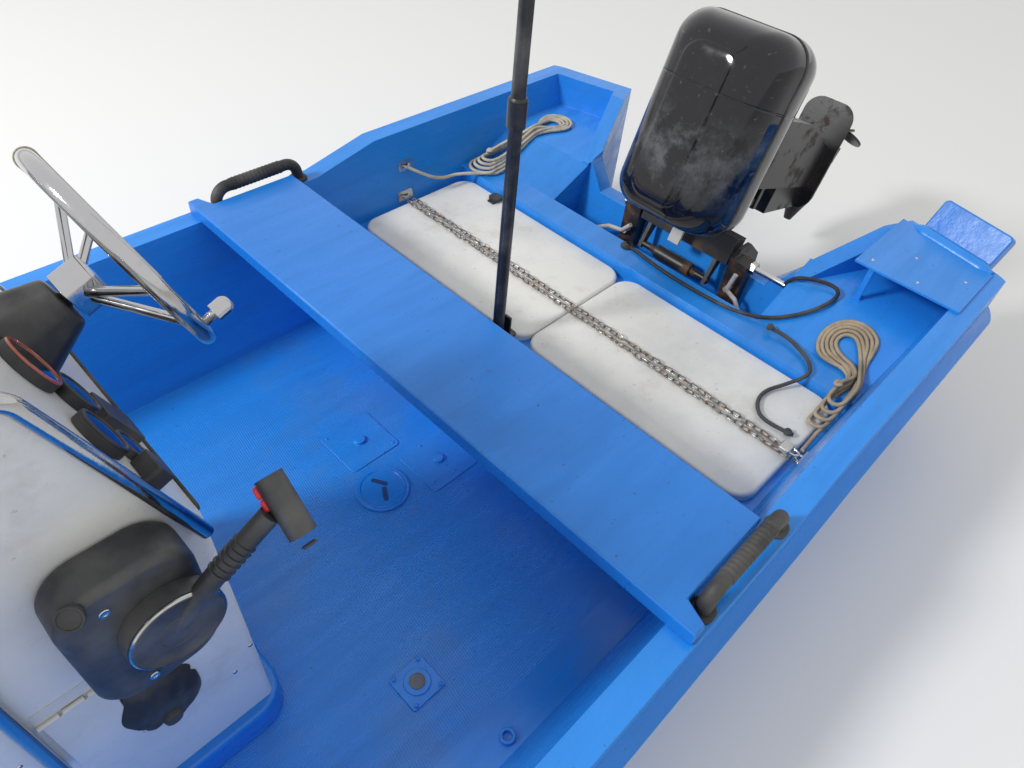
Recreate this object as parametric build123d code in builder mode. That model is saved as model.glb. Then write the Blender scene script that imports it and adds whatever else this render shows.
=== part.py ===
"""Open skiff with a centre console and an outboard engine tilted clear of the water.

Millimetres. X points forward, Y to port, Z up. The origin is on the centreline at the
waterline, amidships.
"""
import os
from collections import namedtuple
from math import acos, atan2, cos, pi, radians, sin, sqrt, tan

from build123d import *

os.makedirs("parts", exist_ok=True)

# Engine transom and the length of the notch behind it
transom_x = -2430
notch_length = 332
stern_x = transom_x - notch_length

# Hull: one row per station along X, each a half width or a height
Station = namedtuple("Station", "x half_beam sheer chine_half chine keel floor_half")
stations = [
    Station(stern_x - 38, 855, 562, 720, -30, -130, 690),
    Station(-1770, 855, 562, 720, -30, -130, 690),
    Station(-1550, 855, 512, 720, -30, -130, 690),
    Station(200, 855, 512, 715, -30, -135, 690),
    Station(800, 848, 530, 690, -20, -140, 665),
    Station(1400, 812, 575, 610, 20, -140, 590),
    Station(1900, 715, 630, 480, 85, -120, 470),
    Station(2300, 560, 680, 330, 165, -75, 330),
    Station(2520, 420, 707.5, 225, 235, -15, 225),
    Station(2680, 285, 727.5, 135, 310, 75, 135),
    Station(2770, 165, 738.75, 62, 375, 165, 62),
    Station(2800, 85, 742.5, 28, 405, 205, 28),
]
sheer_mid = stations[2].sheer
sheer_aft = stations[0].sheer
half_beam = stations[0].half_beam

# Gunwale rim and the inner moulding
rim_width = 60
rim_band = 88
flange_out = 30
flange_height = 24
skin = 6
floor_z = 90

# Stern: wall of the engine transom, notch behind it, well before it, quarter decks
transom_wall = 60
transom_top = 380
transom_rake = 12
transom_half = 330
notch_half = 398
notch_aft_half = 545
stern_sweep = 14.5
quarter_z = 450
quarter_corner = 90
coaming_width = 65
coaming_side = 50
well_fore_x = transom_x + 220
well_half = 400
well_z = 200
strip_fore_x = well_fore_x + 98
strip_z = 378

# Hatch deck, bulkhead, fore platform
bulkhead_x = -1480
hatch_fore_x = -1640
hatch_deck_z = 325
lid_thick = 25
lid_gap = 4
platform_x = 1350
platform_z = 350
foredeck_x = 1950
bow_hatch_x = 2090
bow_hatch_length = 300
bow_hatch_width = 420
bow_lid_thick = 22
bow_hatch_lap = 20
bow_locker_z = 250

# Plank seat across the gunwales
plank_thick = 38
plank_fore_x = -1175
plank_aft_x = -1474
plank_half = 850
plank_notch_length = 30

# Hatch lids, their catch and chain, grab handles
lid_half = 725
lid_corner = 60
lid_edge_radius = 10
latch_y = -550
chain_x = -1851
rope_eye_x = -1871
rope_eye_z = 456
chain_spread = 30
chain_wire = 6
chain_half = 1450
link_pitch = 33
link_width = 22
handle_radius = 16
handle_gap = 9
handle_y = half_beam - rim_width / 2
plank_notch_half = handle_y - handle_radius - handle_gap
handle_rise = 58
handle_bend = 38
handle_fore_x = -1245
handle_aft_x = -1505

# Console
plinth_height = 80
plinth_lip = 25
plinth_corner = 70
console_half = 280
console_aft_x = -656
console_wall = 5
dash_low_z = 795
dash_top_z = 1150
dash_lean = 21.5
console_top_drop = 20
console_corner = 14
console_top_fore_x = -190
console_foot_fore_x = -110
cover_x = -397
cover_width = 92
cover_low_z = 378
cover_high_z = 580
cover_thick = 6
cover_lap = 12
cover_barrel = 4.5
cover_knuckle = 30
rail_radius = 11
rail_rise = 14
rail_leg_x = -333
rail_foot_z = 445
boot_x = -489
boot_z = 405
gauge_rows = [(110, 250, 42, 14), (112, 171, 36, 14), (216, 190, 38, 14), (189, 108, 32, 10)]

# Steering wheel
wheel_centre = (-749, 0, 1056)
wheel_radius = 158
rim_tube = 13
wheel_dish = 70
hub_size = 58
hub_depth = 48
shaft_radius = 10
helm_width = 126
spoke_radius = 7
spoke_turns = (-14, 14, 166, 194)
grip_turn = 120
grip_arc = 120
grip_thick = 2.5
knob_turn = 20
knob_radius = 14
knob_height = 28
knob_stalk = 7

# Floor fittings
floor_lid_x = -1160
floor_lid_y = -14
floor_lid_radius = 72
FloorPlate = namedtuple("FloorPlate", "side x y")
floor_plates = [FloorPlate("stbd", -1215, -186), FloorPlate("port", -1337, 8)]
floor_plate_size = 160
floor_plate_thick = 3
floor_knob_radius = 16
rod_holder_x = -960
rod_holder_y = 660
rod_holder_radius = 18
rod_holder_bore = 10
drain_x = -896
drain_y = 443

# Plate, strut and board on the port quarter
plate_thick = 8
plate_fore_x = transom_x + 18
plate_in_y = 525
plate_out_y = 820
board_thick = 42
board_width = 222
board_height = 104
board_lean = 30
board_mid_y = 688
board_low_z = sheer_aft - 6

# Remote control on the console's port face
remote_x = -522
remote_z = 745
remote_width = 180
remote_height = 270
remote_corner = 60
remote_depth = 72
lever_x = -552
lever_z = 752
boss_radius = 68
boss_depth = 26
stalk_radius = 15
grip_radius = 20

# Outboard engine: tilt tube, then distances aft of it and above it with the engine down
tilt_x = transom_x + 78
tilt_z = 426
tilt_rest = 70
engine_y = 46
tube_radius = 12
cheek_mid = 178
cheek_thick = 14
hook_width = 60
clamp_z = 350
clamp_screw_radius = 9
steer_back = 125
swivel_low = -300
swivel_top = 40
swivel_radius = 30
pivot_radius = 16
mount_gap = 6
mount_thick = 26
shaft_drop = 860
plate_rise = 160
prop_fore = 320
prop_radius = 140
blade_pitch = 25
blade_half_width = 48
hub_radius = 44
prop_length = 110
prop_shaft_radius = 9
cowl_wall = 4
running_fit = 0.06
near_touch = 0.3

# Mast
mast_x = -1612
mast_y = -60
mast_radius = 16
mast_height = 1950
mast_gap = 6
mast_pin = 6
mast_pivot_rise = 40
mast_joint_rise = 640


def on_station(points_of, first=None, last=None):
    """Ruled solid through one closed outline for each station between two X values."""
    chosen = [s for s in stations if (first is None or s.x >= first) and (last is None or s.x <= last)]
    with BuildPart() as body:
        for station in chosen:
            with BuildSketch(Plane(origin=(station.x, 0, 0), x_dir=(0, 1, 0), z_dir=(1, 0, 0))):
                with BuildLine():
                    Polyline(*both_sides(points_of(station)), close=True)
                make_face()
        loft(ruled=True)
    return body.part


def both_sides(points):
    """A closed outline from its port half, whose ends may lie on the centreline."""
    mirrored = [(-y, z) for y, z in reversed(points) if y > 0]
    return points + mirrored


def hull_outline(s):
    """Keel, chine and side up to the underside of the rim."""
    return [(0, s.keel), (s.chine_half, s.chine), (s.half_beam - 12, s.sheer - rim_band - flange_height)]


def rim_outline(s):
    """Full-width slab under the sheer with the rubbing flange at its foot."""
    low = s.sheer - rim_band - flange_height
    return [
        (s.half_beam + flange_out, low),
        (s.half_beam + flange_out, low + flange_height / 2),
        (s.half_beam, low + flange_height),
        (s.half_beam, s.sheer),
    ]


def tub_outline(s, grow=0, above=200):
    """Inside of the boat: flat floor and sides that lean out to the rim's inner edge."""
    lean = (s.half_beam - rim_width - s.floor_half) / (s.sheer - floor_z)
    top = s.sheer + above
    low = floor_z - 60
    return [
        (s.floor_half - lean * (floor_z - low) + grow, low),
        (s.floor_half + lean * (top - floor_z) + grow, top),
    ]


def side_extrusion(points, half_width, grow=0):
    """An X-Z outline carried across the boat, grown by a skin's thickness."""
    with BuildPart() as body:
        with BuildSketch(Plane.XZ):
            with BuildLine():
                Polyline(*points, close=True)
            make_face()
            if grow:
                offset(amount=grow, kind=Kind.INTERSECTION)
        extrude(amount=half_width, both=True)
    return body.part


def plan_extrusion(points, low, high):
    """A plan outline, given by its port half, carried up from one height to another."""
    with BuildPart() as body:
        with BuildSketch(Plane.XY.offset(low)):
            with BuildLine():
                Polyline(*(points + [(x, -y) for x, y in reversed(points)]), close=True)
            make_face()
        extrude(amount=high - low)
    return body.part


def stern_edge_x(y, inset=0):
    """X of the quarter's swept after edge at a distance y from the centreline."""
    sweep = tan(radians(stern_sweep))
    return stern_x + (y - notch_aft_half) * sweep + inset / cos(radians(stern_sweep))


notch_slope = (notch_aft_half - notch_half) / (transom_x - stern_x)


def notch_half_at(x, inset=0):
    """Half width of the notch's side at X, or of a line a wall's thickness outboard of it."""
    return notch_half + (transom_x - x) * notch_slope + inset * sqrt(1 + notch_slope**2)


# Inside space, made twice: as it is, and larger by the moulding's skin; its air is left open
# above the highest sheer
top_open = stations[-1].sheer + 160
inside_profile = [
    (foredeck_x, platform_z),
    (foredeck_x, top_open),
    (stern_x - 40, top_open),
    (stern_x - 40, quarter_z),
    (transom_x + transom_wall, quarter_z),
    (well_fore_x, strip_z),
    (strip_fore_x, strip_z),
    (strip_fore_x, hatch_deck_z),
    (hatch_fore_x, hatch_deck_z),
    (hatch_fore_x, hatch_deck_z + lid_thick),
    (bulkhead_x, hatch_deck_z + lid_thick),
    (bulkhead_x, floor_z),
    (platform_x, floor_z),
    (platform_x, platform_z),
]
side_out = half_beam + 60
coaming_in_y = notch_half_at(stern_edge_x(notch_aft_half, coaming_width), coaming_side)


def inside_plan(grow):
    """Port half of the inside's plan: swept after coaming, notch coaming, transom."""
    after = coaming_width - grow
    side = coaming_side - grow
    fore = transom_x + transom_wall - grow
    return [
        (foredeck_x + 100, side_out),
        (stern_edge_x(side_out, after), side_out),
        (stern_edge_x(coaming_in_y - grow, after), coaming_in_y - grow),
        (fore, notch_half_at(fore, side)),
    ]


def transom_outer_x(z):
    """X of the engine transom's raked outer face at a height."""
    return transom_x + (transom_top - z) * tan(radians(transom_rake))


def engine_well(grow):
    """Air of the well before the engine transom, its after wall raked as the transom is."""
    fore = well_fore_x + grow
    half = well_half + grow
    with BuildPart() as well:
        for level in (well_z - grow, top_open):
            after = transom_outer_x(level) + transom_wall - grow
            with BuildSketch(Plane.XY.offset(level)):
                with BuildLine():
                    Polyline((fore, half), (after, half), (after, -half), (fore, -half), close=True)
                make_face()
        loft(ruled=True)
    return well.part


def bow_locker(grow):
    """Air of the locker under the foredeck hatch."""
    half = bow_hatch_width / 2 - bow_hatch_lap + grow
    fore = bow_hatch_x + bow_hatch_length - bow_hatch_lap + grow
    aft = bow_hatch_x + bow_hatch_lap - grow
    with BuildPart() as locker:
        with BuildSketch(Plane.XY.offset(bow_locker_z - grow)):
            with BuildLine():
                Polyline((aft, half), (fore, half), (fore, -half), (aft, -half), close=True)
            make_face()
        extrude(amount=top_open - bow_locker_z)
    return locker.part


def inside_space(grow):
    """Cockpit, hatch deck, quarter decks, engine well and bow locker as one solid of air."""
    tub = on_station(lambda s: tub_outline(s, grow), last=foredeck_x + 400)
    profile = side_extrusion(inside_profile, side_out, grow)
    plan = plan_extrusion(inside_plan(grow), -200, top_open + 50)
    well = engine_well(grow)
    with BuildPart() as space:
        add(tub)
        add(profile, mode=Mode.INTERSECT)
        add(plan, mode=Mode.INTERSECT)
        add(well)
        add(bow_locker(grow))
    return space.part


hull_block = on_station(hull_outline)
rim_block = on_station(rim_outline)
inside_clear = inside_space(0)
inside_skinned = inside_space(skin)

# Cuts that shape the stern, taken from hull and rim alike
with BuildPart() as transom_dip:
    with BuildSketch(Plane(origin=(well_fore_x, 0, 0), x_dir=(0, -1, 0), z_dir=(-1, 0, 0))):
        with BuildLine():
            Polyline(
                (-notch_half - 3, top_open),
                (-notch_half - 3, quarter_z + 12),
                (-transom_half, transom_top),
                (transom_half, transom_top),
                (notch_half + 3, quarter_z + 12),
                (notch_half + 3, top_open),
                close=True,
            )
        make_face()
    extrude(amount=well_fore_x - stern_x + 100)

with BuildPart() as coaming_slope:
    with BuildSketch(Plane.XZ):
        with BuildLine():
            Polyline(
                (well_fore_x + 20, top_open),
                (well_fore_x + 20, quarter_z + 2),
                (transom_x + 45, quarter_z + 8),
                (stern_x + 100, sheer_aft),
                (stern_x + 100, top_open),
                close=True,
            )
        make_face()
    extrude(amount=coaming_in_y + 8, both=True)

with BuildPart() as notch:
    for level in (-260, 860):
        fore = transom_outer_x(level)
        with BuildSketch(Plane.XY.offset(level)):
            with BuildLine():
                Polyline(
                    (fore, -notch_half_at(fore)),
                    (fore, notch_half_at(fore)),
                    (stern_x - 120, notch_half_at(stern_x - 120)),
                    (stern_x - 120, -notch_half_at(stern_x - 120)),
                    close=True,
                )
            make_face()
    loft(ruled=True)

trim_side = half_beam + flange_out + 1
with BuildPart() as stern_trim:
    with BuildSketch(Plane.XY.offset(-300)) as stern_plan:
        with BuildLine():
            Polyline(
                (strip_fore_x, -trim_side),
                (strip_fore_x, trim_side),
                (stern_edge_x(trim_side), trim_side),
                (stern_edge_x(0), 0),
                (stern_edge_x(trim_side), -trim_side),
                close=True,
            )
        make_face()
        fillet(stern_plan.vertices().group_by(Axis.X)[1], radius=quarter_corner)
    extrude(amount=1200)

with BuildPart() as stern_waste:
    with Locations((stern_x, 0, 0)):
        Box(2 * notch_length, 3 * half_beam, 3 * top_open)
    add(stern_trim.part, mode=Mode.SUBTRACT)

# Hull: outer moulding with its foam core
with BuildPart() as hull:
    add(hull_block)
    add(inside_skinned, mode=Mode.SUBTRACT)
    add(notch.part, mode=Mode.SUBTRACT)
    add(stern_waste.part, mode=Mode.SUBTRACT)
    add(transom_dip.part, mode=Mode.SUBTRACT)

# Inner moulding: rim, side linings, floor, hatch deck, quarter decks and foredeck
with BuildPart() as deck_liner:
    add(hull_block)
    add(inside_skinned, mode=Mode.INTERSECT)
    add(rim_block)
    add(inside_clear, mode=Mode.SUBTRACT)
    add(notch.part, mode=Mode.SUBTRACT)
    add(stern_waste.part, mode=Mode.SUBTRACT)
    add(transom_dip.part, mode=Mode.SUBTRACT)
    add(coaming_slope.part, mode=Mode.SUBTRACT)
hull.part.label = "hull"
export_step(hull.part, "parts/hull.step")
deck_liner.part.label = "deck_liner"
export_step(deck_liner.part, "parts/deck_liner.step")


def box_between(x_range, y_range, z_range, corner=0):
    """A block between two corners, its upright edges rounded."""
    length = x_range[1] - x_range[0]
    width = y_range[1] - y_range[0]
    with BuildPart() as block:
        with BuildSketch(Plane.XY.offset(z_range[0])):
            with Locations((sum(x_range) / 2, sum(y_range) / 2)):
                if corner:
                    RectangleRounded(length, width, corner)
                else:
                    Rectangle(length, width)
        extrude(amount=z_range[1] - z_range[0])
    return block.part


def rod(points, radius, corner=0):
    """A round bar along straight runs, its corners rounded to one radius."""
    start = Vector(*points[0])
    along = (Vector(*points[1]) - start).normalized()
    across = along.cross(Vector(0, 0, 1))
    if across.length < 0.1:
        across = Vector(0, 1, 0)
    with BuildPart() as bar:
        with BuildLine():
            if corner:
                FilletPolyline(*points, radius=corner)
            else:
                Polyline(*points)
        with BuildSketch(Plane(origin=start, x_dir=across.normalized(), z_dir=along)):
            Circle(radius)
        sweep()
    return bar.part


# Plank seat: a painted board across the gunwales, cut back behind for the grab handles
with BuildPart() as plank_seat:
    with BuildSketch(Plane.XY.offset(sheer_mid)):
        with BuildLine():
            Polyline(
                (plank_fore_x, -plank_half),
                (plank_fore_x, plank_half),
                (plank_fore_x - plank_notch_length, plank_half),
                (plank_fore_x - plank_notch_length - 20, plank_notch_half),
                (plank_aft_x, plank_notch_half),
                (plank_aft_x, -plank_notch_half),
                (plank_fore_x - plank_notch_length - 20, -plank_notch_half),
                (plank_fore_x - plank_notch_length, -plank_half),
                close=True,
            )
        make_face()
    extrude(amount=plank_thick)
    fillet(plank_seat.edges().group_by(Axis.Z)[-1], radius=5)
plank_seat.part.label = "plank_seat"
export_step(plank_seat.part, "parts/plank_seat.step")

# Two hatch lids side by side on the hatch deck
lid_low = strip_fore_x + lid_gap
lid_high = hatch_fore_x - lid_gap
lid_top_z = hatch_deck_z + lid_thick
for side, span in (("port", (lid_gap / 2, lid_half)), ("stbd", (-lid_half, -lid_gap / 2))):
    with BuildPart() as hatch_lid:
        add(box_between((lid_low, lid_high), span, (hatch_deck_z, lid_top_z), lid_corner))
        fillet(hatch_lid.edges().group_by(Axis.Z)[-1], radius=lid_edge_radius)
    hatch_lid.part.label = f"hatch_lid_{side}"
    export_step(hatch_lid.part, f"parts/hatch_lid_{side}.step")

# Catch that holds the starboard lid's after edge: a strap with a black toggle
with BuildPart() as hatch_latch:
    add(box_between((lid_low + 2, lid_low + 52), (latch_y - 14, latch_y + 14), (lid_top_z, lid_top_z + 5)))
    add(box_between((lid_low + 8, lid_low + 44), (latch_y - 20, latch_y + 20), (lid_top_z + 5, lid_top_z + 16), 8))
hatch_latch.part.label = "hatch_latch"
export_step(hatch_latch.part, "parts/hatch_latch.step")

# Chain over the lids: two rows of links, lying flat and on edge in turn
link_count = 2 * int(chain_half / link_pitch / 2 + 0.5)


def chain_link(flat):
    """One link about the origin, its length along Y: a ring of square wire with six sides."""
    normal = (0, 0, 1) if flat else (1, 0, 0)
    with BuildPart() as link:
        with BuildSketch(Plane(origin=(0, 0, 0), x_dir=(0, 1, 0), z_dir=normal)):
            for inset in (0, chain_wire):
                half_length = link_pitch / 2 + chain_wire - near_touch - inset
                half_width = link_width / 2 - inset
                with BuildLine():
                    Polyline(
                        (half_length, 0),
                        (half_length - half_width, half_width),
                        (half_width - half_length, half_width),
                        (-half_length, 0),
                        (half_width - half_length, -half_width),
                        (half_length - half_width, -half_width),
                        close=True,
                    )
                make_face(mode=Mode.SUBTRACT if inset else Mode.ADD)
        extrude(amount=chain_wire / 2, both=True)
    return link.part


chain_z = lid_top_z + link_width / 2 + near_touch
with BuildPart() as hatch_chain:
    for flat in (True, False):
        places = [
            (chain_x + row * chain_spread / 2, (i - (link_count - 1) / 2) * link_pitch, chain_z)
            for row in (-1, 1)
            for i in range(link_count)
            if ((i + (row > 0)) % 2 == 0) == flat
        ]
        with Locations(*places):
            add(chain_link(flat))
hatch_chain.part.label = "hatch_chain"
export_step(hatch_chain.part, "parts/hatch_chain.step")


def lining_y(x, z):
    """Half width of the lining inside the boat at a place, between two stations."""
    after = [s for s in stations if s.x <= x][-1]
    fore = [s for s in stations if s.x > x][0]
    share = (x - after.x) / (fore.x - after.x)
    ys = []
    for s in (after, fore):
        lean = (s.half_beam - rim_width - s.floor_half) / (s.sheer - floor_z)
        ys.append(s.floor_half + lean * (z - floor_z))
    return ys[0] + share * (ys[1] - ys[0])


# Eyes on the linings: two hold the chain's ends, one on the starboard side holds a rope
Eye = namedtuple("Eye", "name sign x z")
eye_rows = [
    Eye("pad_eye_port", 1, chain_x, lid_top_z + link_width / 2),
    Eye("pad_eye_stbd", -1, chain_x, lid_top_z + link_width / 2),
    Eye("rope_eye", -1, rope_eye_x, rope_eye_z),
]
lining_lean = (half_beam - rim_width - stations[0].floor_half) / (sheer_aft - floor_z)
eyes = {}
for row in eye_rows:
    wall_y = lining_y(row.x, row.z)
    inward = (0, -row.sign, lining_lean)
    with BuildPart() as eye:
        with BuildSketch(Plane(origin=(row.x, row.sign * wall_y, row.z), x_dir=(1, 0, 0), z_dir=inward)):
            RectangleRounded(60, 34, 8)
        extrude(amount=3)
        with BuildSketch(Plane.XY.offset(row.z)):
            with Locations((row.x, row.sign * (wall_y - 3))):
                Circle(15)
                Circle(8, mode=Mode.SUBTRACT)
        extrude(amount=3, both=True)
        add(deck_liner.part, mode=Mode.SUBTRACT)
        add(hull.part, mode=Mode.SUBTRACT)
    eyes[row.name] = eye.part
    eye.part.label = row.name
    export_step(eye.part, f"parts/{row.name}.step")

# Grab handles: rubber-covered bars on the gunwale caps beside the plank's ends
for side, sign in (("port", 1), ("stbd", -1)):
    y = sign * handle_y
    with BuildPart() as grab_handle:
        add(
            rod(
                [
                    (handle_fore_x, y, sheer_mid),
                    (handle_fore_x, y, sheer_mid + handle_rise),
                    (handle_aft_x, y, sheer_mid + handle_rise),
                    (handle_aft_x, y, sheer_mid),
                ],
                handle_radius,
                handle_bend,
            )
        )
    grab_handle.part.label = f"grab_handle_{side}"
    export_step(grab_handle.part, f"parts/grab_handle_{side}.step")

# Console: moulded plinth, hollow body open at the foot, and a hinged cover in the port face
body_low_z = floor_z + plinth_height
dash_top_x = console_aft_x + (dash_top_z - dash_low_z) * tan(radians(dash_lean))
console_profile = [
    (console_aft_x, body_low_z),
    (console_aft_x, dash_low_z),
    (dash_top_x, dash_top_z),
    (console_top_fore_x, dash_top_z - console_top_drop),
    (console_foot_fore_x, body_low_z),
]
console_inside = [
    (console_aft_x + console_wall, body_low_z - 1),
    (console_aft_x + console_wall, dash_low_z - console_wall * tan(radians(dash_lean)) / 2),
    (dash_top_x + console_wall, dash_top_z - console_wall),
    (console_top_fore_x - console_wall, dash_top_z - console_top_drop - console_wall),
    (console_foot_fore_x - console_wall, body_low_z - 1),
]
with BuildPart() as console_plinth:
    add(
        box_between(
            (console_aft_x - plinth_lip, console_foot_fore_x + plinth_lip),
            (-console_half - plinth_lip, console_half + plinth_lip),
            (floor_z, body_low_z),
            plinth_corner,
        )
    )
    fillet(console_plinth.edges().group_by(Axis.Z)[-1], radius=12)
console_plinth.part.label = "console_plinth"
export_step(console_plinth.part, "parts/console_plinth.step")

console_solid = side_extrusion(console_profile, console_half)
console_hollow = side_extrusion(console_inside, console_half - console_wall)
with BuildPart() as console:
    add(console_solid)
    fillet(console.edges().filter_by(Axis.Z).group_by(Axis.X)[0], radius=console_corner)
    add(console_hollow, mode=Mode.SUBTRACT)
    with Locations((cover_x, console_half, (cover_low_z + cover_high_z) / 2)):
        Box(cover_width - 2 * cover_lap, 4 * console_wall, cover_high_z - cover_low_z - 2 * cover_lap,
            mode=Mode.SUBTRACT)
console.part.label = "console"
export_step(console.part, "parts/console.step")

cover_axis_y = console_half + cover_barrel + near_touch
cover_axis_z = cover_high_z + cover_barrel + 1
with BuildPart() as console_cover:
    add(
        box_between(
            (cover_x - cover_width / 2, cover_x + cover_width / 2),
            (console_half + near_touch, console_half + near_touch + cover_thick),
            (cover_low_z, cover_high_z),
        )
    )
    fillet(console_cover.edges().group_by(Axis.Y)[-1], radius=2)
    add(
        box_between(
            (cover_x - cover_knuckle / 2, cover_x + cover_knuckle / 2),
            (console_half + 2, console_half + near_touch + cover_thick),
            (cover_high_z - 4, cover_axis_z),
        )
    )
    with Locations((cover_x, cover_axis_y, cover_axis_z)):
        Cylinder(cover_barrel, cover_knuckle, rotation=(0, 90, 0))
console_cover.part.label = "console_cover"
export_step(console_cover.part, "parts/console_cover.step")

with BuildPart() as cover_hinge:
    add(
        box_between(
            (cover_x - cover_width / 2 - 4, cover_x + cover_width / 2 + 4),
            (console_half, console_half + 1.5),
            (cover_axis_z + cover_barrel + 1, cover_axis_z + cover_barrel + 28),
        )
    )
    for sign in (-1, 1):
        ends = sorted(cover_x + sign * d for d in (cover_knuckle / 2 + 5, cover_width / 2 + 4))
        add(box_between(ends, (console_half, console_half + 1.5), (cover_axis_z, cover_axis_z + cover_barrel + 1)))
        with Locations((sum(ends) / 2, cover_axis_y, cover_axis_z)):
            Cylinder(cover_barrel, ends[1] - ends[0], rotation=(0, 90, 0))
cover_hinge.part.label = "cover_hinge"
export_step(cover_hinge.part, "parts/cover_hinge.step")

# Dash: frame across the leaning panel, its own axes across, up the panel and outwards
dash_tilt = radians(dash_lean)
dash_out = Vector(-cos(dash_tilt), 0, sin(dash_tilt))
dash_plane = Plane(origin=(console_aft_x, 0, dash_low_z), x_dir=(0, -1, 0), z_dir=dash_out)


def dash_at(across, up, out=0):
    """Plane on the dash at a distance to port, a distance up the panel and a height off it."""
    origin = dash_plane.from_local_coords((-across, up, out))
    return Plane(origin=origin, x_dir=(0, -1, 0), z_dir=dash_out)


with BuildPart() as gauges:
    for across, up, radius, thick in gauge_rows:
        with BuildSketch(dash_at(across, up)):
            Circle(radius)
        extrude(amount=thick)
gauges.part.label = "gauges"
export_step(gauges.part, "parts/gauges.step")

with BuildPart() as switch_panel:
    with BuildSketch(dash_at(90, 72)):
        RectangleRounded(64, 84, 8)
    extrude(amount=14)
switch_panel.part.label = "switch_panel"
export_step(switch_panel.part, "parts/switch_panel.step")

with BuildPart() as switch_box:
    with BuildSketch(dash_at(250, 118)):
        RectangleRounded(46, 34, 6)
    extrude(amount=26)
switch_box.part.label = "switch_box"
export_step(switch_box.part, "parts/switch_box.step")

with BuildPart() as dash_trim:
    add(
        box_between(
            (console_aft_x - 6, console_aft_x),
            (-console_half + 30, console_half - 30),
            (dash_low_z - 14, dash_low_z),
        )
    )
dash_trim.part.label = "dash_trim"
export_step(dash_trim.part, "parts/dash_trim.step")

# Steering wheel: cover on the dash over the steering box, hub, spokes, rim, grip and knob
wheel_mid = Vector(*wheel_centre)
wheel_on_dash = dash_plane.to_local_coords(wheel_mid)
helm_up = wheel_on_dash.Y
hub_low = wheel_on_dash.Z - wheel_dish - hub_depth / 2
wheel_down = dash_out.cross(Vector(0, 1, 0))


def wheel_point(turn, radius, out=0):
    """A point of the wheel at an angle from port, a radius and a height off its plane."""
    way = Vector(0, 1, 0) * cos(radians(turn)) + wheel_down * sin(radians(turn))
    return wheel_mid + way * radius + dash_out * out


def wheel_ring(turn, arc, tube, bore=0):
    """Part of a ring on the rim's centre circle, its section a disc or an annulus."""
    way = (wheel_point(turn, 1) - wheel_mid).normalized()
    with BuildPart() as ring:
        with BuildSketch(Plane(origin=wheel_point(turn, wheel_radius), x_dir=way, z_dir=dash_out.cross(way))):
            Circle(tube)
            if bore:
                Circle(bore, mode=Mode.SUBTRACT)
        revolve(axis=Axis(wheel_mid, dash_out), revolution_arc=arc)
    return ring.part


with BuildPart() as helm_cover:
    with BuildSketch(dash_at(0, helm_up)):
        RectangleRounded(helm_width, helm_width - 8, 40)
    with BuildSketch(dash_at(0, helm_up, hub_low - mount_gap)):
        RectangleRounded(helm_width - 50, helm_width - 58, 28)
    loft()
    with BuildSketch(dash_at(0, helm_up, hub_low - mount_gap - 2)):
        Circle(shaft_radius)
    extrude(amount=mount_gap + 32)
helm_cover.part.label = "helm_cover"
export_step(helm_cover.part, "parts/helm_cover.step")

with BuildPart() as wheel_hub:
    with BuildSketch(dash_at(0, helm_up, hub_low)):
        RectangleRounded(hub_size, hub_size, 10)
    extrude(amount=hub_depth)
    fillet(wheel_hub.faces().sort_by(Axis(wheel_mid, dash_out))[-1].edges(), radius=6)
    with BuildSketch(dash_at(0, helm_up, hub_low)):
        Circle(shaft_radius + running_fit)
    extrude(amount=31, mode=Mode.SUBTRACT)
wheel_hub.part.label = "wheel_hub"
export_step(wheel_hub.part, "parts/wheel_hub.step")

rim_solid = wheel_ring(0, 360, rim_tube)
grip_solid = wheel_ring(grip_turn, grip_arc, rim_tube + grip_thick, rim_tube)
with BuildPart() as wheel_rim:
    add(rim_solid)
wheel_rim.part.label = "wheel_rim"
export_step(wheel_rim.part, "parts/wheel_rim.step")

with BuildPart() as wheel_spokes:
    for turn in spoke_turns:
        inner = wheel_point(turn, hub_size / 2 - 4, -wheel_dish)
        outer = wheel_point(turn, wheel_radius)
        add(rod([tuple(inner), tuple(outer)], spoke_radius))
    add(rim_solid, mode=Mode.SUBTRACT)
    add(wheel_hub.part, mode=Mode.SUBTRACT)
    add(grip_solid, mode=Mode.SUBTRACT)
wheel_spokes.part.label = "wheel_spokes"
export_step(wheel_spokes.part, "parts/wheel_spokes.step")

with BuildPart() as wheel_grip:
    add(grip_solid)
wheel_grip.part.label = "wheel_grip"
export_step(wheel_grip.part, "parts/wheel_grip.step")

with BuildPart() as spinner_knob:
    with BuildSketch(Plane(origin=wheel_point(knob_turn, wheel_radius), x_dir=(0, 1, 0), z_dir=dash_out)):
        Circle(knob_stalk)
    extrude(amount=rim_tube + 22)
    with BuildSketch(
        Plane(origin=wheel_point(knob_turn, wheel_radius, rim_tube + 16), x_dir=(0, 1, 0), z_dir=dash_out)
    ):
        Circle(knob_radius)
    extrude(amount=knob_height)
    fillet(spinner_knob.edges().filter_by(GeomType.CIRCLE).sort_by(Axis(wheel_mid, dash_out))[-1:], radius=12)
    add(rim_solid, mode=Mode.SUBTRACT)
spinner_knob.part.label = "spinner_knob"
export_step(spinner_knob.part, "parts/spinner_knob.step")

# Grab rails: one tube each side from the dash's foot over the top and down the front
for side, sign in (("port", 1), ("stbd", -1)):
    y = sign * (console_half + rail_radius + near_touch)
    with BuildPart() as console_rail:
        add(
            rod(
                [
                    (console_aft_x + 8, y, dash_low_z - 10),
                    (dash_top_x - 2, y, dash_top_z + rail_rise),
                    (rail_leg_x, y, dash_top_z + rail_rise),
                    (rail_leg_x, y, rail_foot_z),
                ],
                rail_radius,
                45,
            )
        )
    console_rail.part.label = f"console_rail_{side}"
    export_step(console_rail.part, f"parts/console_rail_{side}.step")

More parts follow.
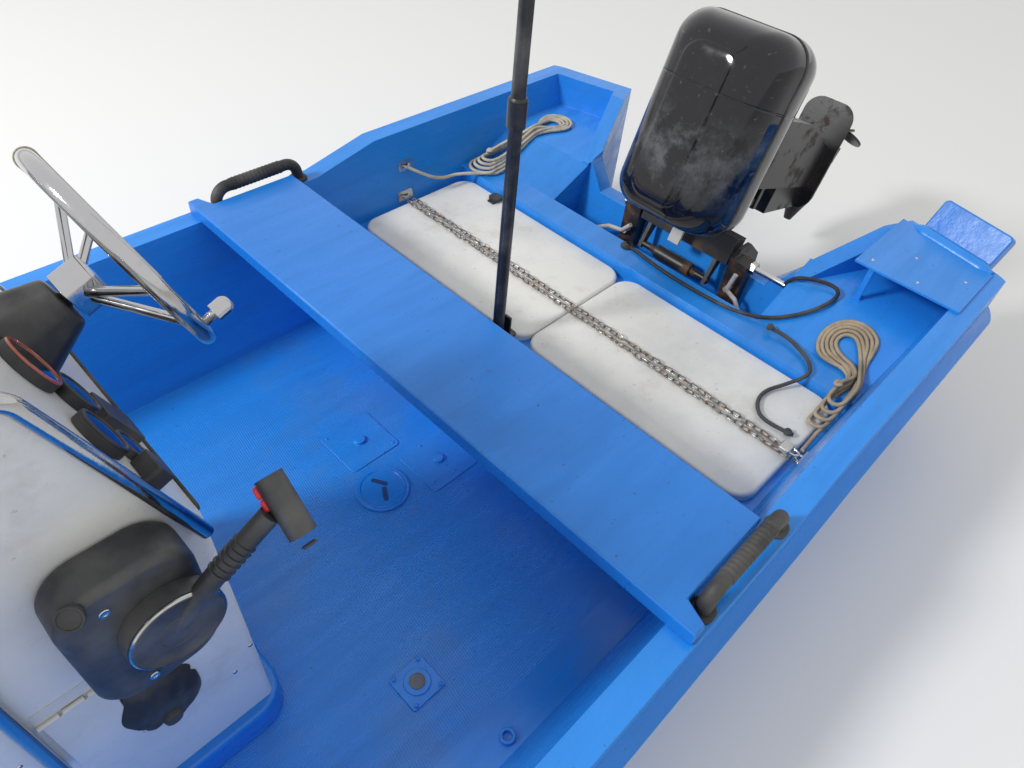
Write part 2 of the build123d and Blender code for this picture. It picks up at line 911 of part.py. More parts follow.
# Remote control: box on the port face, boss and lever that turn together, and its grip
with BuildPart() as remote_box:
    with BuildSketch(Plane.XZ.offset(-console_half)):
        with Locations((remote_x, remote_z)):
            RectangleRounded(remote_width, remote_height, remote_corner)
    extrude(amount=-remote_depth)
    fillet(remote_box.edges().group_by(Axis.Y)[-1], radius=14)
remote_box.part.label = "remote_box"
export_step(remote_box.part, "parts/remote_box.step")

lever_y = console_half + remote_depth + near_touch
stalk_line = [
    (lever_x, lever_y + 18, lever_z),
    (lever_x - 62, lever_y + 34, lever_z + 70),
    (lever_x - 150, lever_y + 46, lever_z + 140),
]
grip_line = [(lever_x - 173, lever_y + 14, lever_z + 171), (lever_x - 171, lever_y + 84, lever_z + 116)]
with BuildPart() as throttle_lever:
    with BuildSketch(Plane.XZ.offset(-lever_y)):
        with Locations((lever_x, lever_z)):
            Circle(boss_radius)
    extrude(amount=-boss_depth)
    add(rod(stalk_line, stalk_radius, 40))
throttle_lever.part.label = "throttle_lever"
export_step(throttle_lever.part, "parts/throttle_lever.step")

with BuildPart() as lever_grip:
    add(rod(grip_line, grip_radius))
    add(throttle_lever.part, mode=Mode.SUBTRACT)
lever_grip.part.label = "lever_grip"
export_step(lever_grip.part, "parts/lever_grip.step")

with BuildPart() as cable_boot:
    with BuildSketch(Plane.XZ.offset(-console_half)):
        with Locations((boot_x, boot_z)):
            Circle(30)
    extrude(amount=-6)
    with BuildSketch(Plane.XZ.offset(-console_half - 6)):
        with Locations((boot_x, boot_z)):
            Circle(22)
    with BuildSketch(Plane.XZ.offset(-console_half - 34)):
        with Locations((boot_x, boot_z)):
            Circle(14)
    loft()
cable_boot.part.label = "cable_boot"
export_step(cable_boot.part, "parts/cable_boot.step")

# Floor fittings: round inspection lid, drain, rod holder
with BuildPart() as floor_lid:
    with Locations((floor_lid_x, floor_lid_y, floor_z)):
        Cylinder(floor_lid_radius, 8, align=(Align.CENTER, Align.CENTER, Align.MIN))
    fillet(floor_lid.edges().group_by(Axis.Z)[-1], radius=3)
floor_lid.part.label = "floor_lid"
export_step(floor_lid.part, "parts/floor_lid.step")

with BuildPart() as floor_drain:
    add(box_between((drain_x - 45, drain_x + 45), (drain_y - 45, drain_y + 45), (floor_z, floor_z + 5), 6))
    with Locations((drain_x, drain_y, floor_z + 5)):
        Cylinder(30, 5, align=(Align.CENTER, Align.CENTER, Align.MIN))
floor_drain.part.label = "floor_drain"
export_step(floor_drain.part, "parts/floor_drain.step")

for plate in floor_plates:
    with BuildPart() as floor_plate:
        with BuildSketch(Plane.XY.offset(floor_z)):
            with Locations((plate.x, plate.y)):
                RectangleRounded(floor_plate_size, floor_plate_size, 12)
        extrude(amount=floor_plate_thick)
        with BuildSketch(Plane.XY.offset(floor_z + floor_plate_thick)):
            with Locations((plate.x, plate.y)):
                Circle(floor_knob_radius)
        extrude(amount=9)
        fillet(floor_plate.edges().group_by(Axis.Z)[-1], radius=3)
    floor_plate.part.label = f"floor_plate_{plate.side}"
    export_step(floor_plate.part, f"parts/floor_plate_{plate.side}.step")

with BuildPart() as rod_holder:
    with BuildSketch(Plane.XY.offset(floor_z)):
        with Locations((rod_holder_x, rod_holder_y)):
            Circle(rod_holder_radius)
            Circle(rod_holder_bore, mode=Mode.SUBTRACT)
    extrude(amount=12)
    fillet(rod_holder.edges().group_by(Axis.Z)[-1], radius=3)
rod_holder.part.label = "rod_holder"
export_step(rod_holder.part, "parts/rod_holder.step")

# Mast: foot bracket with two cheeks on the hatch deck, and a pole pivoted between them
with BuildPart() as mast_foot:
    add(box_between((mast_x - 42, mast_x + 42), (mast_y - 35, mast_y + 35), (lid_top_z, lid_top_z + 6), 8))
    for row in (-1, 1):
        with Locations((mast_x + row * (mast_radius + mast_gap + 3), mast_y, lid_top_z + 6)):
            Box(6, 44, mast_pivot_rise + 14, align=(Align.CENTER, Align.CENTER, Align.MIN))
    with Locations((mast_x, mast_y, lid_top_z + mast_pivot_rise)):
        Cylinder(mast_pin, 2 * (mast_radius + mast_gap + 10), rotation=(0, 90, 0))
mast_foot.part.label = "mast_foot"
export_step(mast_foot.part, "parts/mast_foot.step")

with BuildPart() as mast_pole:
    with Locations((mast_x, mast_y, lid_top_z + mast_pivot_rise - mast_radius - 2)):
        Cylinder(mast_radius, mast_height, align=(Align.CENTER, Align.CENTER, Align.MIN))
    with Locations((mast_x, mast_y, lid_top_z + mast_joint_rise)):
        Cylinder(mast_radius + 6, 60)
    with Locations((mast_x, mast_y, lid_top_z + mast_pivot_rise)):
        Cylinder(mast_pin + running_fit, 4 * mast_radius, rotation=(0, 90, 0), mode=Mode.SUBTRACT)
mast_pole.part.label = "mast_pole"
export_step(mast_pole.part, "parts/mast_pole.step")

# Port quarter: thin plate over the deck on a strut, and a board for a spare engine
strut_y = plate_in_y + 50
with BuildPart() as quarter_plate:
    with BuildSketch(Plane.XY.offset(sheer_aft)):
        with BuildLine():
            Polyline(
                (plate_fore_x, plate_in_y),
                (plate_fore_x, plate_out_y),
                (stern_edge_x(plate_out_y, coaming_width / 2), plate_out_y),
                (stern_edge_x(plate_in_y, coaming_width / 2), plate_in_y),
                close=True,
            )
        make_face()
    extrude(amount=plate_thick)
    add(box_between((plate_fore_x - 16, plate_fore_x - 10), (strut_y - 8, strut_y + 8), (quarter_z, sheer_aft)))
    add(box_between((plate_fore_x - 40, plate_fore_x - 10), (strut_y - 12, strut_y + 12),
                    (quarter_z, quarter_z + 4)))
quarter_plate.part.label = "quarter_plate"
export_step(quarter_plate.part, "parts/quarter_plate.step")

board_along = Vector(tan(radians(stern_sweep)), 1, 0).normalized()
board_aft = Vector(0, 0, 1).cross(board_along)
board_up = Vector(0, 0, 1) * cos(radians(board_lean)) + board_aft * sin(radians(board_lean))
board_low = Vector(stern_edge_x(board_mid_y, -near_touch), board_mid_y, board_low_z)
with BuildPart() as spare_board:
    with BuildSketch(Plane(origin=board_low + board_up * board_height / 2, x_dir=board_along,
                           z_dir=board_along.cross(board_up))):
        RectangleRounded(board_width, board_height, 14)
    extrude(amount=-board_thick)
    add(deck_liner.part, mode=Mode.SUBTRACT)
    add(quarter_plate.part, mode=Mode.SUBTRACT)
spare_board.part.label = "spare_board"
export_step(spare_board.part, "parts/spare_board.step")

# Engine frame: at rest the engine stands tilted up about the tilt tube
tilt_angle = radians(tilt_rest)
aft_dir = Vector(-cos(tilt_angle), 0, sin(tilt_angle))
up_dir = Vector(sin(tilt_angle), 0, cos(tilt_angle))
tilt_point = Vector(tilt_x, engine_y, tilt_z)


def engine_point(aft, up):
    """A point on the engine's middle plane from its distances aft of and above the tilt tube."""
    return tilt_point + aft_dir * aft + up_dir * up


def engine_level(up):
    """Level plane of the engine at a height: first axis aft, second to starboard, normal up."""
    return Plane(origin=engine_point(0, up), x_dir=aft_dir, z_dir=up_dir)


def engine_frame(aft, up=0):
    """Plane across the engine at a distance aft: first axis to port, normal aft."""
    return Plane(origin=engine_point(aft, up), x_dir=(0, 1, 0), z_dir=aft_dir)


def engine_profile(points, half_width):
    """A side outline carried across the engine, its points given aft and up."""
    with BuildPart() as body:
        with BuildSketch(Plane(origin=engine_point(0, 0), x_dir=aft_dir, z_dir=aft_dir.cross(up_dir))):
            with BuildLine():
                Polyline(*points, close=True)
            make_face()
        extrude(amount=half_width, both=True)
    return body.part


def engine_column(aft, low, high, radius):
    """A round bar parallel to the engine's own height."""
    with BuildPart() as column:
        with BuildSketch(engine_level(low)):
            with Locations((aft, 0)):
                Circle(radius)
        extrude(amount=high - low)
    return column.part


def cross_bar(x, z, radius, half_width):
    """A round bar across the boat, centred on the engine."""
    with BuildPart() as bar:
        with BuildSketch(Plane.XZ.offset(-engine_y)):
            with Locations((x, z)):
                Circle(radius)
        extrude(amount=half_width, both=True)
    return bar.part


# Clamp bracket: two cheeks outside the transom with hooks over its top
def transom_inner_x(z):
    """X of the engine transom's inner face at a height."""
    return transom_outer_x(z) + transom_wall


screw_half = cheek_mid - cheek_thick / 2 + hook_width / 2
bracket_low_z = 60
cheek_profile = [
    (tilt_x + 34, 440),
    (tilt_x + 34, transom_top),
    (transom_outer_x(transom_top), transom_top),
    (transom_outer_x(bracket_low_z), bracket_low_z),
    (transom_outer_x(bracket_low_z) - 55, bracket_low_z),
    (-2500, 320),
    (-2490, 390),
    (-2410, 458),
    (tilt_x, 462),
]
hook_profile = [
    (tilt_x + 34, 440),
    (transom_inner_x(290) + 34, 290),
    (transom_inner_x(290), 290),
    (transom_inner_x(transom_top), transom_top),
    (transom_inner_x(transom_top), 440),
]
with BuildPart() as clamp_bracket:
    for sign in (-1, 1):
        for points, middle, thick in (
            (cheek_profile, cheek_mid, cheek_thick),
            (hook_profile, cheek_mid - cheek_thick / 2 + hook_width / 2, hook_width),
        ):
            with BuildSketch(Plane.XZ.offset(-engine_y - sign * middle)):
                with BuildLine():
                    Polyline(*points, close=True)
                make_face()
            extrude(amount=thick / 2, both=True)
    add(cross_bar(tilt_x, tilt_z, tube_radius, 400), mode=Mode.SUBTRACT)
    for sign in (-1, 1):
        with Locations((tilt_x, engine_y + sign * screw_half, clamp_z)):
            Cylinder(clamp_screw_radius, 300, rotation=(0, 90, 0), mode=Mode.SUBTRACT)
clamp_bracket.part.label = "clamp_bracket"
export_step(clamp_bracket.part, "parts/clamp_bracket.step")

# Clamp screws, each with a bent handle through its fore end
screw_end_x = tilt_x + 60
handle_paths = {
    -1: [(22, 34), (-8, -2), (-60, -12), (-112, -46)],
    1: [(16, 66), (4, 2), (40, -14), (66, -50)],
}
with BuildPart() as clamp_screws:
    for sign, path in handle_paths.items():
        y = engine_y + sign * screw_half
        start = (transom_inner_x(clamp_z - clamp_screw_radius) + near_touch, y, clamp_z)
        add(rod([start, (screw_end_x, y, clamp_z)], clamp_screw_radius))
        add(rod([(screw_end_x, y + across, clamp_z + rise) for across, rise in path], 7, 14))
clamp_screws.part.label = "clamp_screws"
export_step(clamp_screws.part, "parts/clamp_screws.step")

tube_half = cheek_mid - cheek_thick / 2 + hook_width
nut_size = tube_radius + 8
with BuildPart() as tilt_tube:
    add(cross_bar(tilt_x, tilt_z, tube_radius, tube_half))
    for sign in (-1, 1):
        with BuildSketch(Plane.XZ.offset(-engine_y - sign * tube_half)):
            with Locations((tilt_x, tilt_z)):
                RegularPolygon(nut_size, 6)
        extrude(amount=-sign * 18)
    add(rod([(tilt_x, engine_y + tube_half + 18, tilt_z), (tilt_x, engine_y + tube_half + 118, tilt_z)], 9))
tilt_tube.part.label = "tilt_tube"
export_step(tilt_tube.part, "parts/tilt_tube.step")

# Swivel bracket, which tilts about the tube
arm_half = cheek_mid - cheek_thick / 2 - mount_gap
link_half = 134
link_back = -98
link_up = 18
with BuildPart() as swivel_bracket:
    add(
        engine_profile(
            [(-26, 26), (steer_back, swivel_top), (steer_back, swivel_low), (100, swivel_low), (100, -38), (-26, -26)],
            40,
        )
    )
    add(engine_profile([(-26, 26), (60, 32), (60, -34), (-26, -26)], arm_half))
    add(engine_column(steer_back, swivel_low, swivel_top, swivel_radius))
    for sign in (-1, 1):
        arm_y = sign * (link_half - 8)
        with BuildSketch(Plane(origin=tilt_point + Vector(0, arm_y, 0), x_dir=aft_dir,
                               z_dir=aft_dir.cross(up_dir))):
            with BuildLine():
                Polyline((link_back - 14, link_up - 12), (link_back + 14, link_up - 16), (-20, -20), (-20, 22),
                         (link_back - 14, link_up + 14), close=True)
            make_face()
        extrude(amount=6, both=True)
    with BuildSketch(Plane(origin=engine_point(link_back, link_up), x_dir=aft_dir, z_dir=aft_dir.cross(up_dir))):
        Circle(11)
    extrude(amount=link_half, both=True)
    with BuildSketch(Plane(origin=engine_point(link_back, link_up), x_dir=aft_dir, z_dir=aft_dir.cross(up_dir))):
        Circle(22)
    extrude(amount=link_half / 2, both=True)
    add(engine_column(steer_back, swivel_low - 5, swivel_top + 5, pivot_radius + running_fit), mode=Mode.SUBTRACT)
    add(cross_bar(tilt_x, tilt_z, tube_radius + running_fit, 400), mode=Mode.SUBTRACT)
swivel_bracket.part.label = "swivel_bracket"
export_step(swivel_bracket.part, "parts/swivel_bracket.step")

# Leg: pivot pin with upper and lower mounts, drive housing, plate, gearcase and skeg
housing_fore = steer_back + swivel_radius + 10
plate_up = -shaft_drop + plate_rise
mount_low = swivel_low - mount_gap
tray_low = swivel_top + mount_gap + mount_thick
gearcase_radius = 50
nose_fore = 12
nose_aft = 120
plate_mid = 280
plate_length = 390
plate_width = 186
with BuildPart() as leg:
    add(engine_column(steer_back, mount_low - mount_thick, swivel_top + mount_gap, pivot_radius))
    for points, half_width in (
        ([(90, swivel_top + mount_gap), (300, swivel_top + mount_gap),
          (300, swivel_top + mount_gap + mount_thick), (90, swivel_top + mount_gap + mount_thick)], 55),
        ([(90, mount_low), (290, mount_low), (290, mount_low - mount_thick), (90, mount_low - mount_thick)], 45),
        ([(housing_fore, tray_low), (345, tray_low), (392, -230), (392, -420), (325, plate_up),
          (housing_fore + 8, plate_up)], 58),
        ([(300, tray_low), (560, tray_low), (430, -60), (345, -80)], 96),
        ([(70, -430), (392, -420), (325, plate_up), (90, plate_up)], 46),
        ([(100, plate_up), (312, plate_up), (304, -shaft_drop), (90, -shaft_drop)], 26),
        ([(130, -shaft_drop - 30), (300, -shaft_drop - 30), (312, -shaft_drop - 178),
          (250, -shaft_drop - 168)], 6),
    ):
        add(engine_profile(points, half_width))
    with BuildSketch(engine_level(plate_up - 8)):
        with Locations((plate_mid, 0)):
            RectangleRounded(plate_length, plate_width, 60)
    extrude(amount=8)
    with BuildSketch(engine_frame(nose_fore, -shaft_drop)):
        Circle(14)
    with BuildSketch(engine_frame(nose_aft, -shaft_drop)):
        Circle(gearcase_radius)
    loft()
    with BuildSketch(engine_frame(nose_aft, -shaft_drop)):
        Circle(gearcase_radius)
    extrude(amount=prop_fore - mount_gap - nose_aft)
    with BuildSketch(engine_frame(prop_fore - mount_gap - 10, -shaft_drop)):
        Circle(prop_shaft_radius)
    extrude(amount=prop_length + 40)
leg.part.label = "leg"
export_step(leg.part, "parts/leg.step")

with BuildPart() as steering_arm:
    add(engine_profile([(-30, 76), (110, 76), (110, 88), (-30, 88)], 20))
    add(engine_profile([(90, 72), (110, 72), (110, 88), (90, 88)], 20))
steering_arm.part.label = "steering_arm"
export_step(steering_arm.part, "parts/steering_arm.step")


# Cowls: rounded sections up the engine
CowlRow = namedtuple("CowlRow", "up mid length width corner")
cowl_low = 190
cowl_rows = [
    CowlRow(cowl_low, 330, 545, 360, 80),
    CowlRow(250, 330, 538, 338, 78),
    CowlRow(300, 327, 512, 290, 72),
    CowlRow(333, 322, 470, 228, 62),
    CowlRow(348, 320, 410, 164, 50),
]
tray_rows = [CowlRow(tray_low, 330, 516, 330, 68), CowlRow(120, 330, 540, 354, 78), cowl_rows[0]]


def cowl_loft(rows, inset=0, sink=0):
    """Loft through rounded rectangles, made smaller by a wall and lowered for a hollow."""
    with BuildPart() as body:
        for row in rows:
            with BuildSketch(engine_level(row.up - sink)):
                with Locations((row.mid, 0)):
                    RectangleRounded(row.length - 2 * inset, row.width - 2 * inset, row.corner - inset)
        loft()
    return body.part


with BuildPart() as cowl_tray:
    add(cowl_loft(tray_rows))
    add(steering_arm.part, mode=Mode.SUBTRACT)
    add(leg.part, mode=Mode.SUBTRACT)
cowl_tray.part.label = "cowl_tray"
export_step(cowl_tray.part, "parts/cowl_tray.step")

with BuildPart() as cowl:
    add(cowl_loft(cowl_rows))
    add(cowl_loft(cowl_rows, cowl_wall, cowl_wall), mode=Mode.SUBTRACT)
cowl.part.label = "cowl"
export_step(cowl.part, "parts/cowl.step")

block_length = cowl_rows[-1].length
block_width = cowl_rows[-1].width
with BuildPart() as powerhead:
    with BuildSketch(engine_level(cowl_low)):
        with Locations((cowl_rows[-1].mid, 0)):
            Rectangle(block_length, block_width)
    extrude(amount=cowl_rows[-3].up - cowl_low)
powerhead.part.label = "powerhead"
export_step(powerhead.part, "parts/powerhead.step")

# Propeller: hub and three blades
with BuildPart() as propeller:
    with BuildSketch(engine_frame(prop_fore, -shaft_drop)):
        Circle(hub_radius)
    extrude(amount=prop_length)
    blade_root = hub_radius - 12
    blade_mid = (blade_root + prop_radius) / 2
    for turn in (90, 210, 330):
        hub_plane = engine_frame(prop_fore + prop_length / 2, -shaft_drop)
        outward = hub_plane.x_dir * cos(radians(turn)) + hub_plane.y_dir * sin(radians(turn))
        face = aft_dir * cos(radians(blade_pitch)) + aft_dir.cross(outward) * sin(radians(blade_pitch))
        with BuildSketch(Plane(origin=hub_plane.origin, x_dir=outward, z_dir=face)):
            with Locations((blade_mid, 0)):
                Ellipse(prop_radius - blade_mid, blade_half_width)
        extrude(amount=4, both=True)
    with BuildSketch(engine_frame(prop_fore, -shaft_drop)):
        Circle(prop_shaft_radius + running_fit)
    extrude(amount=prop_length, mode=Mode.SUBTRACT)
propeller.part.label = "propeller"
export_step(propeller.part, "parts/propeller.step")

# Bow: hatch lid on the foredeck, hinged at its fore edge, and a mooring cleat
deck_rows = [s for s in stations if s.x >= 1900]
deck_slope = atan2(deck_rows[1].sheer - deck_rows[0].sheer, deck_rows[1].x - deck_rows[0].x)
deck_fore = Vector(cos(deck_slope), 0, sin(deck_slope))
deck_normal = Vector(-sin(deck_slope), 0, cos(deck_slope))


def on_foredeck(x, rise=0):
    """Plane on the sloping foredeck at an X, first axis forward, normal up."""
    deck_z = deck_rows[0].sheer + (x - deck_rows[0].x) * tan(deck_slope)
    return Plane(origin=Vector(x, 0, deck_z) + deck_normal * rise, x_dir=deck_fore, z_dir=deck_normal)


# Hinges at the hatch's fore edge: a knuckle on the lid turns on a pin between two ears
hinge_y = 120
hinge_rise = 30
hinge_pin = 4
knuckle_radius = 8
knuckle_width = 18
ear_thick = 6
ear_gap = 5
hinge_x = bow_hatch_x + bow_hatch_length + 14
hinge_plane = on_foredeck(hinge_x, hinge_rise)


def hinge_side(y):
    """Plane across the hinge at a distance to port, centred on its pin."""
    return Plane(origin=hinge_plane.origin + Vector(0, y, 0), x_dir=deck_fore, z_dir=(0, -1, 0))


with BuildPart() as bow_hinges:
    for y in (-hinge_y, hinge_y):
        for side in (-1, 1):
            ear_y = y + side * (knuckle_width / 2 + ear_gap + ear_thick / 2)
            with BuildSketch(hinge_side(ear_y)):
                with Locations((6, (9 - hinge_rise) / 2)):
                    Rectangle(26, hinge_rise + 9)
            extrude(amount=ear_thick / 2, both=True)
        with BuildSketch(on_foredeck(hinge_x + 6)):
            with Locations((0, y)):
                Rectangle(26, knuckle_width + 2 * ear_gap + 2 * ear_thick)
        extrude(amount=4)
        with BuildSketch(hinge_side(y)):
            Circle(hinge_pin)
        extrude(amount=knuckle_width / 2 + ear_gap + ear_thick, both=True)
bow_hinges.part.label = "bow_hinges"
export_step(bow_hinges.part, "parts/bow_hinges.step")

with BuildPart() as bow_hatch:
    with BuildSketch(on_foredeck(bow_hatch_x + bow_hatch_length / 2, near_touch)):
        RectangleRounded(bow_hatch_length, bow_hatch_width, 40)
    extrude(amount=bow_lid_thick)
    fillet(bow_hatch.faces().sort_by(Axis((0, 0, 0), tuple(deck_normal)))[-1].edges(), radius=6)
    for y in (-hinge_y, hinge_y):
        strap = hinge_plane.offset(bow_lid_thick + near_touch - hinge_rise)
        with BuildSketch(strap):
            with Locations((-24, y)):
                Rectangle(48, knuckle_width)
        extrude(amount=4)
        with BuildSketch(hinge_side(y)):
            Circle(knuckle_radius)
        extrude(amount=knuckle_width / 2, both=True)
        with BuildSketch(hinge_side(y)):
            Circle(hinge_pin + running_fit)
        extrude(amount=knuckle_width, both=True, mode=Mode.SUBTRACT)
bow_hatch.part.label = "bow_hatch"
export_step(bow_hatch.part, "parts/bow_hatch.step")

cleat_x = 2530
with BuildPart() as bow_cleat:
    with BuildSketch(on_foredeck(cleat_x)):
        RectangleRounded(80, 30, 8)
    extrude(amount=6)
    for shift in (-22, 22):
        with BuildSketch(on_foredeck(cleat_x, 4)):
            with Locations((shift, 0)):
                Circle(8)
        extrude(amount=30)
    horn = on_foredeck(cleat_x, 38)
    add(rod([tuple(horn.origin - deck_fore * 75), tuple(horn.origin + deck_fore * 75)], 9))
bow_cleat.part.label = "bow_cleat"
export_step(bow_cleat.part, "parts/bow_cleat.step")

# Bow eye: a bent bar on the stem for towing
bow_x = stations[-1].x
bow_eye_z = 440
with BuildPart() as bow_eye:
    add(
        rod(
            [
                (bow_x, 0, bow_eye_z + 18),
                (bow_x + 28, 0, bow_eye_z + 18),
                (bow_x + 28, 0, bow_eye_z - 18),
                (bow_x, 0, bow_eye_z - 18),
            ],
            5,
            12,
        )
    )
bow_eye.part.label = "bow_eye"
export_step(bow_eye.part, "parts/bow_eye.step")

# Coiled ropes: closed solids of their outer shape, one on each quarter and a bundle between
slope_run = Vector(transom_x + transom_wall - well_fore_x, 0, quarter_z - strip_z)
slope_plane = Plane(
    origin=(well_fore_x, 0, strip_z), x_dir=slope_run.normalized(),
    z_dir=slope_run.cross(Vector(0, 1, 0)).normalized() * -1,
)
fan_outline = [(6, 690), (28, 612), (84, 596), (122, 640), (120, 716), (72, 744), (8, 742)]
with BuildPart() as coil_port:
    with BuildSketch(slope_plane.offset(near_touch)) as fan:
        with BuildLine():
            Polyline(*[(x, y * slope_plane.y_dir.Y) for x, y in fan_outline], close=True)
        make_face()
        fillet(fan.vertices(), radius=10)
    extrude(amount=24)
coil_port.part.label = "coil_port"
export_step(coil_port.part, "parts/coil_port.step")

bundle_fore = -1905
bundle_rise = 20
with BuildPart() as rope_bundle:
    with BuildSketch(Plane.XZ.offset(-(lid_half - 30))):
        with BuildLine():
            Polyline(
                (well_fore_x, strip_z + near_touch),
                (strip_fore_x + 1, strip_z + near_touch),
                (strip_fore_x + 8, lid_top_z + near_touch),
                (bundle_fore, lid_top_z + near_touch),
                (bundle_fore, lid_top_z + bundle_rise),
                (strip_fore_x + 60, lid_top_z + bundle_rise + 6),
                (strip_fore_x, strip_z + bundle_rise),
                (well_fore_x, strip_z + bundle_rise),
                close=True,
            )
        make_face()
    extrude(amount=-42)
    add(coil_port.part, mode=Mode.SUBTRACT)
rope_bundle.part.label = "rope_bundle"
export_step(rope_bundle.part, "parts/rope_bundle.step")

hank_fore = -2165
hank_aft = -2560
hank_rise = 26
with BuildPart() as coil_stbd:
    with BuildSketch(Plane.XZ.offset(616)):
        with BuildLine():
            Polyline(
                (hank_fore, strip_z + near_touch),
                (well_fore_x, strip_z + near_touch),
                (transom_x + transom_wall, quarter_z + near_touch),
                (hank_aft, quarter_z + near_touch),
                (hank_aft, quarter_z + hank_rise),
                (transom_x + transom_wall - 8, quarter_z + hank_rise),
                (well_fore_x - 8, strip_z + hank_rise),
                (hank_fore, strip_z + hank_rise),
                close=True,
            )
        make_face()
    extrude(amount=120)
    fillet(coil_stbd.edges().filter_by(Axis.Z), radius=30)
coil_stbd.part.label = "coil_stbd"
export_step(coil_stbd.part, "parts/coil_stbd.step")

# Loose ropes: straight runs with a tangent arc at each point
rope_radius = 5


def rope_bends(points):
    """Radius of each bend: most of what the shorter neighbouring run allows."""
    places = [Vector(*p) for p in points]
    radii = []
    for before, here, after in zip(places, places[1:], places[2:]):
        first = here - before
        second = after - here
        turn = acos(first.normalized().dot(second.normalized()))
        radii.append(0.45 * min(first.length, second.length) / tan(turn / 2))
    return radii


def rope(points):
    """A tube along a route, its arcs tangent to the runs."""
    start = Vector(*points[0])
    along = (Vector(*points[1]) - start).normalized()
    with BuildPart() as tube:
        with BuildLine() as route:
            FilletPolyline(*points, radius=rope_bends(points))
        with BuildSketch(Plane(origin=start, x_dir=along.cross(Vector(0, 0, 1)).normalized(), z_dir=along)):
            Circle(rope_radius)
        sweep()
    length = route.wires()[0].length
    print(f"rope: length {length:.0f} mm, volume {tube.part.volume / (pi * rope_radius**2 * length):.4f} of it,")
    print("  bends", [round(r) for r in rope_bends(points)])
    return tube.part


lid_rope_z = lid_top_z + rope_radius + 4
strip_rope_z = strip_z + rope_radius + 4
rope_routes = {
    "rope_dark": [
        (-2222, 452, strip_rope_z + 8),
        (-2186, 520, strip_rope_z),
        (-2160, 592, strip_rope_z),
        (-2104, 626, strip_rope_z + 2),
        (-2050, 592, lid_rope_z + 8),
        (-1990, 562, lid_rope_z),
        (-1930, 575, lid_rope_z + 1),
        (-1892, 622, lid_rope_z),
        (-1912, 697, lid_rope_z + 2),
    ],
    "rope_stbd": [
        (rope_eye_x, -756, rope_eye_z - 2),
        (-1925, -722, 418),
        (-1990, -714, 390),
        (-2060, -704, 392),
        (-2120, -690, strip_rope_z + 7),
        (hank_fore - 2, -676, strip_rope_z + 2),
    ],
}
rope_holders = {"rope_dark": [rope_bundle.part], "rope_stbd": [eyes["rope_eye"], coil_stbd.part]}
for name, points in rope_routes.items():
    with BuildPart() as rope_tube:
        add(rope(points))
        for holder in rope_holders[name]:
            add(holder, mode=Mode.SUBTRACT)
    rope_tube.part.label = name
    export_step(rope_tube.part, f"parts/{name}.step")
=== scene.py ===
"""Open skiff with a centre console and an outboard engine, dressed for one view from over the console.

Metres. X points forward, Y to port, Z up, with the waterline at zero.
"""

from math import cos, pi, radians, sin

import bmesh
import bpy
import numpy as np
from mathutils import Matrix, Vector


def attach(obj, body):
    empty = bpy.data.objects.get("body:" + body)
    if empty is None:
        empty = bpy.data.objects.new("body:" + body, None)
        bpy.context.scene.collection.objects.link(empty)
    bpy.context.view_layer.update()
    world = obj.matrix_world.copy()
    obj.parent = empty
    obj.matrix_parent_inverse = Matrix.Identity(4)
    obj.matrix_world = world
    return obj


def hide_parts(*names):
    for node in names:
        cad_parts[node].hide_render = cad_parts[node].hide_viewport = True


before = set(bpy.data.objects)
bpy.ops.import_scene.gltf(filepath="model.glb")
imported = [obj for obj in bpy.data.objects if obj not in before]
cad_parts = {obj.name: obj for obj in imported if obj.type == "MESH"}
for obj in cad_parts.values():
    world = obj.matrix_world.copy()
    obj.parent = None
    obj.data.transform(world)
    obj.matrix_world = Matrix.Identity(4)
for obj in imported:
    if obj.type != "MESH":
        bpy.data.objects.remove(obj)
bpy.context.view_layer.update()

# Camera: held over the port side of the console and looking aft and down to starboard.
camera_place = Vector((-0.5, 0.95, 1.71))
camera_right = Vector((-0.7027, 0.70689, 0.0789))
camera_up = Vector((-0.47207, -0.54676, 0.69142))
camera_lens = 25.66


def added(name, data):
    """A new object of the given data, in the scene."""
    made = bpy.data.objects.new(name, data)
    bpy.context.scene.collection.objects.link(made)
    return made


camera_data = bpy.data.cameras.new("camera")
camera_data.lens = camera_lens
camera_data.sensor_width = 36
camera_data.clip_start = 0.02
camera_data.clip_end = 60
camera = added("camera", camera_data)
camera_back = camera_right.cross(camera_up).normalized()
turn = Matrix((camera_right, camera_back.cross(camera_right), camera_back)).transposed()
camera.matrix_world = Matrix.Translation(camera_place) @ turn.to_4x4()
bpy.context.scene.camera = camera
bpy.context.scene.view_settings.view_transform = "Standard"

# Studio: a pale level floor at the waterline, a broad key lamp on the sun's side, soft fill around.
key_direction = Vector((0.72, -0.30, 0.62))
key_distance = 9.0
key_size = 1.6
key_watts = 560.0
key_aim = Vector((-1.4, 0, 0))
fill_strength = 0.72
floor_colour = (0.80, 0.80, 0.79, 1)
floor_half = 30


def node(mat, kind, inputs=(), **settings):
    """A new node of a material: an input given as a socket is linked, any other value is set."""
    made = mat.node_tree.nodes.new("ShaderNode" + kind)
    for key, value in settings.items():
        setattr(made, key, value)
    for key, value in dict(inputs).items():
        if isinstance(value, bpy.types.NodeSocket):
            mat.node_tree.links.new(value, made.inputs[key])
        else:
            made.inputs[key].default_value = value
    return made


def finish(name, colour, rough, metal=0.0, coat=0.0, coat_rough=0.1, specular=0.5):
    """A material with one Principled shader whose even values are set on its own sockets."""
    mat = bpy.data.materials.new(name)
    mat.use_nodes = True
    values = {"Base Color": colour, "Roughness": rough, "Metallic": metal, "Coat Weight": coat,
              "Coat Roughness": coat_rough, "Specular IOR Level": specular}
    for socket, value in values.items():
        mat.node_tree.nodes["Principled BSDF"].inputs[socket].default_value = value
    return mat


